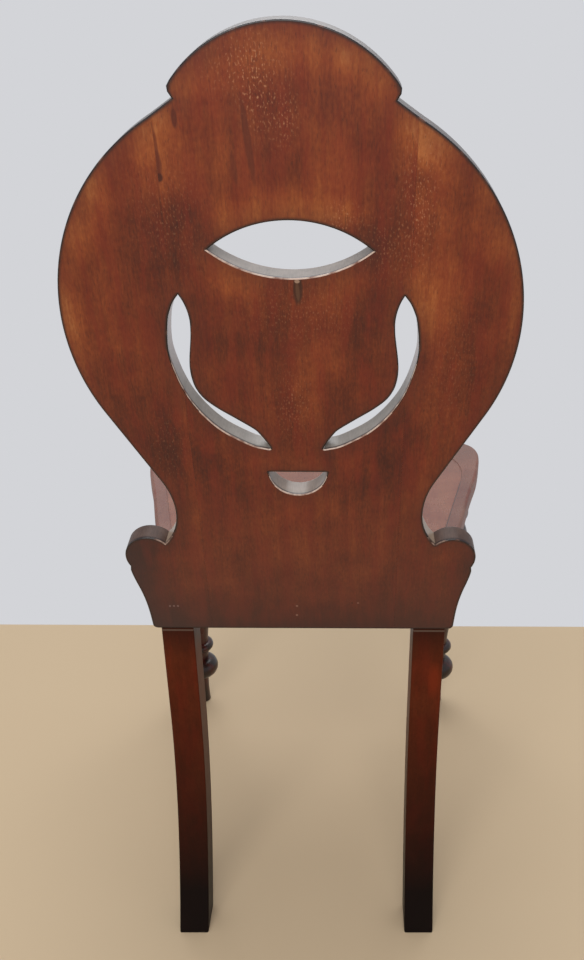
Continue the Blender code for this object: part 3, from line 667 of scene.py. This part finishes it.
def step_shadow_and_border(tree, wood, place):
    """A dark line of painted shadow along the step on the right side of the seat's sunk field, and
    the border outside the field a little darker than the worn field, most of all on the right. The
    front of that side is darker too. The line is drawn 2 mm wide."""
    start = Vector((seat_rear_half_width - seat_field_inset, depth_origin - back_thickness, 0.0))
    end_x, end_depth = field_front_shares[0]
    end = Vector(seat_point(end_x, end_depth) + (0.0,)) + Vector((0.0, depth_origin, 0.0))
    square = Vector((0.0, 0.0, 1.0)).cross(end - start).normalized()
    spread = add(tree, "ShaderNodeSeparateXYZ", None, (place,), "X")
    forward = add(tree, "ShaderNodeSeparateXYZ", None, (place,), "Y")
    across = add(tree, "ShaderNodeMath", without_sign, (spread,))
    beyond = sum_of(tree, -start.dot(square), [(across, square.x), (forward, square.y)])
    away = add(tree, "ShaderNodeMath", without_sign, (beyond,))
    halves = (spread, -side_blend, side_blend, 1.0, 0.0)
    right = add(tree, "ShaderNodeMapRange", None, halves)
    border = (beyond, -border_blur, border_blur, 0.0, 0.40)
    sides = (forward, end.y - border_fade, end.y + border_start, 0.0, 1.0)
    front = (forward, end.y + border_start, end.y - front_dark_run, 0.0, 0.50)
    # Painted shadow of the step, on the right side only
    line = (away, step_shadow_half_width, step_shadow_half_width + step_shadow_blur, 0.85, 0.0)
    faded = (forward, end.y, end.y + step_shadow_fade, 0.0, 1.0)
    rim = coated(tree, colour("#5a3a38"), ("#3e1715", right))
    coats = (rim, border, sides), ("#4a2c24", front, right), ("#2a1512", line, faded, right)
    return coated(tree, wood, *coats)


def shaded_leg_and_dark_foot(tree, wood, place):
    """A rear leg from the board down: a pale line of painted highlight right under the board,
    painted shade below it where the board shades the leg, a redder, brighter place, and darker low
    down, nearly black at the foot."""
    up = add(tree, "ShaderNodeSeparateXYZ", None, (place,), "Z")
    depth = add(tree, "ShaderNodeSeparateXYZ", None, (place,), "Y")
    bright = small_mark(tree, place, *bright_patch, 0, depth_origin)
    behind = (depth, depth_origin - rear_skin, depth_origin - rear_skin / 2, 0.0, 1.0)
    return coated(
        tree,
        wood,
        # Painted shade where the board above shades the leg's top
        ("#22120e", (up, board_shade_bottom, board_shade_top, 0.0, 0.75)),
        ("#1a0c08", (up, foot_dark_top, foot_dark_bottom, 0.0, 0.45)),
        ("#0a0706", (up, foot_black_top, foot_black_bottom, 0.0, 0.95)),
        ("#7c2d14", (bright, 0.0, 0.6, 0.0, 0.55)),
        # A painted highlight: a pale line along the leg's back just under the board
        ("#8a7a6c", (up, *highlight_line_low, 0.0, 0.32), (up, *highlight_line_high, 1.0, 0.0), behind),
    )


def aged_and_shaded_back(tree, wood, place, moved, cloud, name):
    """What age has done to the board's rear, and the light painted on it: a painted reflection of
    the floor low down, a darker haze near the arrises, painted shade along the outline and the
    openings' upper arrises, golden flecks where the polish has crazed, and the small marks."""
    height = add(tree, "ShaderNodeSeparateXYZ", None, (place,), "Z")
    edge, grimy_edge, dulling, crazing = (
        add(tree, "ShaderNodeAttribute", {"attribute_name": painted}, out="Fac")
        for painted in ("edge", "grimy_edge", "dulling", "crazing")
    )
    fleck = figure(tree, moved, fleck_width, fleck_length, 2, 1.0)
    wood = coated(
        tree,
        wood,
        # Painted reflection of the floor: the board duller and purple-brown low down
        ("#4f2c24", (height, floor_sheen_top, floor_sheen_bottom, 0.0, 0.55)),
        ("#3a1a17", (edge, *haze_mm, 0.65, 0.0), cloud),
        ("#2b2428", dulling),
        ("#c8906a", (fleck, 0.59, 0.70, 0.0, 0.66), crazing),
        ("#3a120c", (fleck, 0.44, 0.34, 0.0, 0.40), crazing),
        # Painted shade along the outline and the openings' upper arrises
        ("#241413", (grimy_edge, *edge_shade_mm, 0.88, 0.0)),
    )
    for across, up, half_width, half_height, turn, code, strength in board_marks:
        hand = "centre" if abs(across * mm) < plank_joint_x else "left" if across > 0 else "right"
        if name.endswith(hand):
            spot = small_mark(tree, place, across, up, half_width, half_height, turn)
            wood = coated(tree, wood, (code, (spot, 0.0, 0.35, 0.0, strength)))
    return wood


def eased_arris(name, dark, worn, low, high, roughness=0.24, shine=plain_shine):
    """The thin rounded corner of the board, its colour broken by knocks and dusting that wear it
    down to paler wood. It has a sharp gloss along the curve. The dark and the pale arris finishes
    made
    here carry painted light: the dark one painted shade, the pale one a painted highlight."""
    material, tree = new_material(name)
    place = add(tree, "ShaderNodeTexCoord", out="Object")
    wear = figure(tree, place, wear_width, wear_width, 2, 3.0)
    wood = coated(tree, colour(dark), (worn, (wear, low, high, 0.0, 1.0)))
    values = {"Base Color": wood, "Roughness": roughness, "IOR": shellac_ior}
    values["Specular IOR Level"] = shine
    surface(tree, values)
    return material


def rubbed_edge(name, codes, roughness, shine=plain_shine, top_highlight=None):
    """A sawn edge under polish and wax, cloudy, with the saw's fine lines, and a dark line of
    painted shade just inside the rear arris. A colour given for the top is a painted highlight
    that the edge turns to high up."""
    material, tree = new_material(name)
    place = add(tree, "ShaderNodeTexCoord", out="Object")
    cloud = figure(tree, place, edge_cloud_width, edge_cloud_width, 2, 3.0)
    saw = figure(tree, place, saw_width, saw_length, 1, 2.0)
    tone = sum_of(tree, 0.25, [(cloud, 0.3), (saw, 0.2)])
    wood = add(tree, "ShaderNodeValToRGB", {"stops": list(zip(edge_places, codes))}, (tone,))
    if top_highlight:
        up = add(tree, "ShaderNodeSeparateXYZ", None, (place,), "Z")
        # Painted highlight towards the top
        wood = coated(tree, wood, (top_highlight, (up, leaf_highlight_start, leaf_top, 0.0, 0.9)))
    depth = add(tree, "ShaderNodeSeparateXYZ", None, (place,), "Y")
    # Painted shade: a dark line just inside the rear arris
    wood = coated(tree, wood, ("#2c1a16", (depth, shade_line_inside, shade_line_arris, 0.0, 0.92)))
    values = {"Base Color": wood, "Roughness": roughness, "IOR": shellac_ior}
    values["Specular IOR Level"] = shine
    surface(tree, values, saw, relief_strength, saw_depth)
    return material


def sawn_softwood(name):
    """Pine or spruce left from the saw and yellowed, its growth rings standing out."""
    material, tree = new_material(name)
    place = add(tree, "ShaderNodeTexCoord", out="Object")
    moved, grain = wandering_grain(tree, place, softwood_plank, 2)
    ring = figure(tree, grain, growth_ring_width, growth_ring_length)
    dirt = figure(tree, moved, softwood_dirt_width, softwood_dirt_width, 2, 4.0)
    tone = sum_of(tree, 0.0, [(ring, 0.6), (dirt, 0.4)])
    stops = ((0.30, "#7d5a36"), (0.50, "#a8865c"), (0.70, "#c2a377"))
    wood = add(tree, "ShaderNodeValToRGB", {"stops": stops}, (tone,))
    surface(tree, {"Base Color": wood, "Roughness": 0.8}, ring, 0.5, growth_ring_depth)
    return material


def rusty_steel(name):
    """An old steel screw: dull grey metal with brown rust in specks."""
    material, tree = new_material(name)
    place = add(tree, "ShaderNodeTexCoord", out="Object")
    rust = figure(tree, place, rust_width, rust_width, 2, 4.0)
    rust = add(tree, "ShaderNodeMapRange", None, (rust, 0.48, 0.60, 0.0, 1.0))
    metal = coated(tree, colour("#77736e"), ("#4a2a1a", rust))
    bare = add(tree, "ShaderNodeMapRange", None, (rust, 0.0, 1.0, 1.0, 0.0))
    rough = add(tree, "ShaderNodeMapRange", None, (rust, 0.0, 1.0, 0.40, 0.85))
    surface(tree, {"Base Color": metal, "Roughness": rough, "Metallic": bare})
    return material


back_stops = (
    (0.02, "#36100b"), (0.18, "#45130b"), (0.34, "#5b1f0c"), (0.50, "#6f2c12"),
    (0.66, "#833b19"), (0.86, "#9a5024"), (1.00, "#ac6434"),
)
seat_stops = ((0.10, "#5f301f"), (0.40, "#874b31"), (0.60, "#985a3c"), (0.90, "#b0724d"))
# The seat's edge faces: greyer than the top, partly wear and partly painted light, so they show as
# bright as the top
seat_edge_lit_stops = ((0.10, "#5f3d33"), (0.40, "#7a5245"), (0.60, "#8a6152"), (0.90, "#a07565"))
leg_stops = ((0.10, "#2e130b"), (0.40, "#4d1f0f"), (0.60, "#5f2914"), (0.90, "#7a3b1d"))
turned_stops = ((0.10, "#0f0807"), (0.40, "#1a0d0a"), (0.60, "#25120e"), (0.90, "#3c2016"))
frame_stops = ((0.10, "#2c1612"), (0.40, "#472319"), (0.60, "#5a2f20"), (0.90, "#77442a"))

# Each piece's wood is cut from a place of its own in the plank
seat_plank, leg_plank = (1.3, 0.4, 0.0), (2.1, 0.0, 0.6)
turned_plank, frame_plank = (0.3, 2.0, 0.6), (3.3, 1.0, 0.0)

# Painted shade on the arrises, and a painted highlight over the wear on those facing up under the
# openings
shaded_arris = eased_arris("shaded_arris", "#1d1212", "#6a4638", 0.56, 0.70)
worn_highlit_arris = eased_arris("worn_highlit_arris", "#82594a", "#d0b8aa", 0.34, 0.54, 0.30, 0.42)
crease_arris = eased_arris("crease_arris", "#3c2721", "#a3887b", 0.42, 0.62, 0.40, 0.25)
outer_edge = rubbed_edge("outer_edge", ("#2b1f1d", "#3e302d", "#54443f"), 0.34)
ear_edge = rubbed_edge("ear_edge", ("#3a2822", "#4e3a32", "#624c42"), 0.48, 0.22)
waist_edge = rubbed_edge("waist_edge", ("#84705f", "#9c8774", "#ad9885"), 0.36)
eye_rim = rubbed_edge("eye_rim", ("#5c524b", "#756960", "#8a7d73"), 0.36, 0.35)
moon_rim = rubbed_edge("moon_rim", ("#6f5f56", "#87776c", "#998a7f"), 0.32)
# The leaves' rims are painted paler than the other rims as painted light, and whiter high up as a
# painted highlight
leaf_codes = ("#77706a", "#8d857e", "#9e968f")
leaf_rim = rubbed_edge("leaf_rim", leaf_codes, 0.30, plain_shine, "#dcd4d8")

seat_polish = french_polished_mahogany("seat_mahogany", seat_stops, 0.26, seat_plank, 1, 0.5)
seat_edge_lit_polish = french_polished_mahogany("worn_seat_edge", seat_edge_lit_stops, 0.52, seat_plank, 1)
leg_polish = french_polished_mahogany("rear_leg_mahogany", leg_stops, 0.40, leg_plank, 2, 0.5)
turned_polish = french_polished_mahogany(
    "turned_mahogany", turned_stops, 0.30, turned_plank, 2, 0.6
)
frame_polish = french_polished_mahogany("frame_mahogany", frame_stops, 0.45, frame_plank, 0)
softwood = sawn_softwood("sawn_softwood")
old_steel = rusty_steel("old_steel")

board_place = Matrix.Translation((0.0, depth_origin, back_bottom_height))
board_place = board_place @ Matrix.Rotation(-back_lean, 4, "X")


def edge_distances(places, loops, upper_only=False):
    """How far each (across, up) place is from the nearest edge of the board or an opening.
    With upper_only, an opening counts where the wood is above it."""
    starts = np.array([p for loop in loops for p in loop])
    ends = np.array([p for loop in loops for p in loop[1:] + loop[:1]])
    if upper_only:
        kept = [True] * len(loops[0])
        for loop in loops[1:]:
            pairs = list(zip(loop, loop[1:] + loop[:1]))
            turn = sum(a[0] * b[1] - b[0] * a[1] for a, b in pairs)
            kept += [(a[0] - b[0]) * turn > 0 for a, b in pairs]
        starts, ends = starts[kept], ends[kept]
    nearest = np.full(len(places), np.inf)
    for start, run in zip(starts, ends - starts):
        away = places - start
        along = np.clip((away @ run) / (run @ run), 0.0, 1.0)
        nearest = np.minimum(nearest, ((away - along[:, None] * run) ** 2).sum(1))
    return np.sqrt(nearest)


def patches(places, table):
    """The sum of a table's soft patches at each place."""
    total = np.zeros(len(places))
    for across, up, half_width, half_height, share in table:
        away = (places / mm - (across, up)) / (half_width, half_height)
        total += share * np.exp(-(away**2).sum(1))
    return total


def paint_tones(mesh, loops):
    """Writes each point's tone, dulling and crazing, and its distance in millimetres from the
    nearest arris and from the nearest arris that takes painted shade: the outline's, and the
    openings' upper ones, not their lower ones."""
    places = np.array([(v.co.x, v.co.z) for v in mesh.vertices])
    rear = np.array([v.co.y > -back_thickness / 2 for v in mesh.vertices])
    layers = {"tone": patches(places, board_tones) * rear}
    layers["dulling"] = patches(places, board_dulling) * rear
    layers["crazing"] = patches(places, board_crazing) * rear
    layers["edge"] = edge_distances(places, loops) / mm
    layers["grimy_edge"] = edge_distances(places, loops, True) / mm
    for name, values in layers.items():
        layer = mesh.attributes.new(name, "FLOAT", "POINT")
        layer.data.foreach_set("value", values.astype(np.float32))


def finish_faces(mesh, loops, polish):
    """Gives the flats, the arrises, the outer edge, the ears' tops and the openings' rims their
    own finish. The openings' arrises that face up are painted pale, a highlight over their wear,
    and the others dark as painted shade; the outline's are dark as painted shade, duller in the
    ears' creases."""
    finishes = [polish, shaded_arris, worn_highlit_arris, crease_arris, outer_edge, ear_edge]
    finishes += [waist_edge, eye_rim, moon_rim, leaf_rim]
    for material in finishes:
        mesh.materials.append(material)
    middles = np.array([(face.center.x, face.center.z) for face in mesh.polygons])
    across, up = abs(middles[:, 0]), middles[:, 1]
    outside = edge_distances(middles, loops[:1]) < 2 * board_arris
    creased = np.hypot(across - ear_crease[0], up - ear_crease[1]) < crease_wear
    in_waist = (across < ear_crease[0]) & (up > ear_crease[1]) & (up < waist_height)
    for face, outer, crease, waist in zip(mesh.polygons, outside, creased, in_waist):
        squareness, height = abs(face.normal.y), face.center.z
        if squareness > flat_squareness:
            finish = polish
        elif squareness > arris_squareness and outer:
            finish = crease_arris if crease else shaded_arris
        elif squareness > arris_squareness:
            finish = worn_highlit_arris if face.normal.z > arris_squareness else shaded_arris
        elif outer and waist:
            finish = waist_edge
        elif outer:
            finish = ear_edge if height < ear_top else outer_edge
        elif height > eye_height - 2 * eye_lower_drop:
            finish = eye_rim
        else:
            finish = moon_rim if height < rims_apart else leaf_rim
        face.material_index = finishes.index(finish)


def build_back():
    loops = board_loops()
    flat = sawn("back_board", loops, back_thickness, board_arris)
    flat.transform(Matrix.Rotation(math.pi / 2, 4, "X"))
    whole = bmesh.new()
    whole.from_mesh(flat)
    for i in range(1, int(back_length / tone_grid)):
        cut(whole, (0.0, 0.0, i * tone_grid), (0, 0, 1))
    for i in range(-int(back_half_width / tone_grid), int(back_half_width / tone_grid) + 1):
        cut(whole, (i * tone_grid, 0.0, 0.0), (1, 0, 0))
    joint = plank_joint_x + glue_line / 2
    inside = plank_joint_x - glue_line / 2
    planks = (
        ("left", [(joint, -1)], (0.0, 0.0, 0.0)),
        ("centre", [(inside, 1), (-inside, -1)], (0.7, 0.0, 0.9)),
        ("right", [(-joint, 1)], (1.9, 0.0, 2.3)),
    )
    for hand, cuts, shift in planks:
        bm = whole.copy()
        for x, facing in cuts:
            cut(bm, (x, 0.0, 0.0), (facing, 0, 0), fill=True)
        mesh = mesh_of(bm, "plank_" + hand)
        paint_tones(mesh, loops)
        polish = french_polished_mahogany("back_mahogany_" + hand, back_stops, 0.36, shift)
        finish_faces(mesh, loops, polish)
        plank = new_object("plank_" + hand, mesh)
        plank.matrix_world = board_place
        smoothed(plank)
        fit(plank, ["back_board_" + hand])
    whole.free()


build_back()


def box(name, size, middle):
    bm = bmesh.new()
    bmesh.ops.create_cube(bm, size=1.0)
    bmesh.ops.scale(bm, vec=size, verts=bm.verts)
    bmesh.ops.translate(bm, vec=middle, verts=bm.verts)
    return new_object(name, mesh_of(bm, name))


def board_space(name, low, high):
    """A box over the board's width, from one depth behind its rear face's plane to another."""
    size = (2 * back_half_width, high - low, back_length)
    space = box(name, size, (0.0, (low + high) / 2, back_length / 2))
    space.matrix_world = board_place
    return space


def placed(name, mesh, place):
    """A copy of a mesh, moved to its place."""
    obj = new_object(name, mesh.copy())
    obj.data.transform(Matrix.Translation(place))
    return obj


def cut_away(obj, tools):
    """The mesh of an object less the tools. They all go."""
    for tool in tools:
        step = obj.modifiers.new(tool.name, "BOOLEAN")
        step.operation = "DIFFERENCE"
        step.solver = "EXACT"
        step.object = tool
    bpy.context.view_layer.update()
    mesh = applied(obj)
    for tool in tools:
        bpy.data.objects.remove(tool, do_unlink=True)
    return mesh


def build_seat():
    edge = (seat_edge_radius, seat_under_radius_share, seat_edge_steps)
    blank = sawn("seat", [seat_loop()], seat_thickness, *edge)
    field = sawn("field", [field_loop()], seat_thickness, step_arris, steps=field_edge_steps)
    for hand, side in (("left", 1), ("right", -1)):
        board = placed("seat_" + hand, blank, (0.0, depth_origin, seat_height - seat_thickness))
        sunk_place = (0.0, depth_origin, seat_height - seat_field_sink)
        sunk = placed("field_" + hand, field, sunk_place)
        behind = board_space("board_space_" + hand, -back_thickness, 3 * back_thickness)
        bm = bmesh.new()
        bm.from_mesh(cut_away(board, (sunk, behind)))
        cut(bm, (side * glue_line / 2, 0.0, 0.0), (-side, 0, 0), fill=True)
        mesh = mesh_of(bm, "seat_" + hand)
        mesh.materials.clear()
        mesh.materials.append(seat_polish)
        mesh.materials.append(seat_edge_lit_polish)
        for face in mesh.polygons:
            # Faces that don't look up take the edge finish, which carries painted light
            face.material_index = int(abs(face.normal.z) < seat_squareness)
        seat = new_object("seat_" + hand, mesh)
        smoothed(seat)
        fit(seat, ["seat_board_" + hand])


build_seat()


def leg_back(height):
    """How far back of the straight a rear leg's back face is, and its slope, at a height."""
    left = max(1 - height / rear_leg_curve_height, 0.0)
    return -rear_leg_kick_depth * left**2, 2 * rear_leg_kick_depth * left / rear_leg_curve_height


def build_rear_legs():
    """Legs straight at the top, swept back to the foot. Where a leg meets the leaning board, its
    back is planed to the board's front."""
    steps = arc_steps * 2
    heights = [rear_leg_curve_height * i / steps for i in range(steps + 1)]
    rear, front = [], []
    for z in heights:
        back, slope = leg_back(z)
        rear.append((back, z))
        front.append((back + rear_leg_depth * math.hypot(1, slope), z))
    top = rear_leg_high.z
    loop = rear + [(0.0, top), (rear_leg_depth, top)] + front[::-1]
    width = rear_leg_high.x - rear_leg_low.x
    blank = sawn("rear_leg", [loop], width, leg_arris)
    # Drawn x becomes the depth forwards, drawn y the height, and the thickness runs to -x
    blank.transform(Matrix(((0, 0, -1, 0), (-1, 0, 0, 0), (0, 1, 0, 0), (0, 0, 0, 1))))
    for hand, x in (("left", rear_leg_high.x), ("right", -rear_leg_low.x)):
        leg = placed("swept_leg_" + hand, blank, (x, depth_origin, 0.0))
        space = board_space("space_" + hand, -back_thickness, back_thickness)
        mesh = cut_away(leg, (space,))
        mesh.materials.clear()
        mesh.materials.append(leg_polish)
        leg = new_object("swept_leg_" + hand, mesh)
        smoothed(leg)
        fit(leg, ["rear_leg_" + hand])


build_rear_legs()


def bead(middle, half_height, base, peak, count):
    """A rounded bead from its upper to its lower edge, top to bottom."""
    turns = [math.pi * i / (count - 1) for i in range(count)]
    out = peak - base
    return [(base + out * math.sin(t), middle + half_height * math.cos(t)) for t in turns]


def turned_profile(top):
    groove_low = groove_height - (collar_height - collar_half_height - groove_height)
    drop = groove_low - neck_height
    out = vase_radius - neck_radius
    line = [(0.0, top), (collar_neck_radius, top)]
    line += bead(collar_height, collar_half_height, collar_neck_radius, collar_radius, arc_steps)
    line += [(groove_radius, groove_height)]
    vase = [(neck_radius + x * out, groove_low - down * drop) for down, x in vase_shares]
    line += smooth(vase, curve_steps)
    line += bead(ring_height, ring_half_height, neck_radius, ring_radius, arc_steps)
    line += bead(ball_height, ball_half_height, ball_neck_radius, ball_radius, arc_steps * 2)[:-3]
    ankle_top = ball_height - ball_half_height
    flare = foot_radius - ankle_radius
    ankle = [(ankle_radius + x * flare, up * ankle_top) for up, x in ankle_shares]
    line += smooth(ankle + [(foot_radius, foot_round)], curve_steps)
    return line + [(foot_radius - foot_round, 0.0), (0.0, 0.0)]


def build_front_legs():
    block_bottom = front_leg_high.z - front_block_height
    place = (front_leg_low + front_leg_high) / 2
    for hand, side in (("left", 1), ("right", -1)):
        bm = bmesh.new()
        line = turned_profile(block_bottom + overrun)
        verts = [bm.verts.new((radius, 0.0, height)) for radius, height in line]
        for a, b in zip(verts, verts[1:]):
            bm.edges.new((a, b))
        turned = new_object("turning_" + hand, mesh_of(bm, "turning"))
        spin = turned.modifiers.new("turning", "SCREW")
        spin.axis = "Z"
        spin.steps = spin.render_steps = turned_steps
        spin.use_merge_vertices = True
        spin.merge_threshold = glue_line / 2
        spin.use_normal_flip = True
        size = (front_block_width, front_block_width, front_block_height)
        square = box("block_" + hand, size, (0.0, 0.0, block_bottom + front_block_height / 2))
        bevel = square.modifiers.new("arris", "BEVEL")
        bevel.width = leg_arris
        bevel.segments = arris_steps
        bm = bmesh.new()
        bm.from_mesh(applied(turned))
        bm.from_mesh(applied(square))
        bmesh.ops.translate(bm, vec=(side * place.x, place.y, 0.0), verts=bm.verts)
        mesh = mesh_of(bm, "turned_leg_" + hand)
        mesh.materials.append(turned_polish)
        leg = new_object("turned_leg_" + hand, mesh)
        smoothed(leg)
        fit(leg, ["front_leg_" + hand])


build_front_legs()

# The rails, corner blocks and screws are kept as the frame has them, with a finish of their own
for name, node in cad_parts.items():
    if "screw" in name:
        finish = old_steel
    elif "rail" in name:
        finish = frame_polish
    elif "_block_" in name:
        finish = softwood
    else:
        continue
    for slot in node.material_slots:
        slot.material = finish

# The floor ends where it meets the wall in the photograph. The wall is the room's own colour
wall_colour = "#d3d4d8"
floor_colour = "#ccb595"
floor_roughness = 0.7
floor_front = -0.415
floor_reach = 3.0

floor_mesh = bpy.data.meshes.new("floor")
west, east = -floor_reach, floor_reach
corners = [(west, floor_front), (east, floor_front), (east, floor_reach), (west, floor_reach)]
floor_mesh.from_pydata([(x, y, 0.0) for x, y in corners], [], [(0, 1, 2, 3)])
floor_finish, tree = new_material("floor")
surface(tree, {"Base Color": colour(floor_colour), "Roughness": floor_roughness})
floor_mesh.materials.append(floor_finish)
new_object("floor", floor_mesh)

# Two soft lamps: name, place, the point each faces, width and height in metres, and watts
soft_lamps = (
    ("front_top_light", (0.0, -1.3, 2.2), (0.0, 0.1, 0.7), 1.8, 1.0, 18),
    ("room_light", (0.3, 2.1, 2.0), (0.0, 0.2, 0.5), 2.0, 2.0, 38),
)
for name, place, target, width, height, power in soft_lamps:
    light = bpy.data.lights.new(name, "AREA")
    light.shape = "RECTANGLE"
    light.size, light.size_y = width, height
    light.energy = power
    lamp = new_object(name, light)
    lamp.location = place
    lamp.rotation_euler = (Vector(target) - Vector(place)).to_track_quat("-Z", "Y").to_euler()

# The room's light is brighter on the wall's side. Seen straight on, in the polish or through a
# piece, the room has the wall's own colour
bright_way = (0.0, -0.9, 0.0)
glow_ways, glow_strengths = (-0.6, 0.8), (0.32, 0.80)
world = bpy.data.worlds.new("room")
world.use_nodes = True
scene.world = world
tree = world.node_tree
tree.nodes.remove(tree.nodes["Background"])
rays = tree.nodes.new("ShaderNodeLightPath").outputs
seen = add(tree, "ShaderNodeBackground", None, (colour(wall_colour),))
way = add(tree, "ShaderNodeTexCoord", out="Generated")
facing = {"operation": "DOT_PRODUCT"}
way = add(tree, "ShaderNodeVectorMath", facing, (way, bright_way), "Value")
glow = add(tree, "ShaderNodeMapRange", None, (way, *glow_ways, *glow_strengths))
lit = add(tree, "ShaderNodeBackground", None, (colour("#ffffff"), glow))
shown = add(tree, "ShaderNodeMath", up_to_one, (rays["Is Camera Ray"], rays["Is Glossy Ray"]))
shown = add(tree, "ShaderNodeMath", up_to_one, (shown, rays["Is Transmission Ray"]))
room = add(tree, "ShaderNodeMixShader", None, (shown, lit, seen))
tree.links.new(room, tree.nodes["World Output"].inputs["Surface"])

# The photograph's camera, fitted to it from the chair's own edges
photo_width, photo_height = 584, 960
focal_px = 838.0
principal_x, principal_y = 356.0, 498.0
camera_place = (-0.0446, 0.8819, 0.8662)
camera_turn = math.radians(0.64)
camera_down = math.radians(25.06)
camera_roll = math.radians(0.59)
sensor_mm = 36

lens = bpy.data.cameras.new("camera")
camera = new_object("camera", lens)
level_reach = math.cos(camera_down)
ahead = (-math.sin(camera_turn) * level_reach, -math.cos(camera_turn) * level_reach)
ahead = Vector(ahead + (-math.sin(camera_down),))
right = Vector((-math.cos(camera_turn), math.sin(camera_turn), 0.0))
up = right.cross(ahead)
c, s = math.cos(camera_roll), math.sin(camera_roll)
axes = Matrix((c * right + s * up, c * up - s * right, -ahead)).transposed().to_4x4()
camera.matrix_world = Matrix.Translation(camera_place) @ axes
lens.sensor_width = sensor_mm
lens.lens = focal_px * sensor_mm / photo_height
lens.shift_x = (photo_width / 2 - principal_x) / photo_height
lens.shift_y = (principal_y - photo_height / 2) / photo_height
scene.camera = camera
scene.view_settings.view_transform = "Standard"
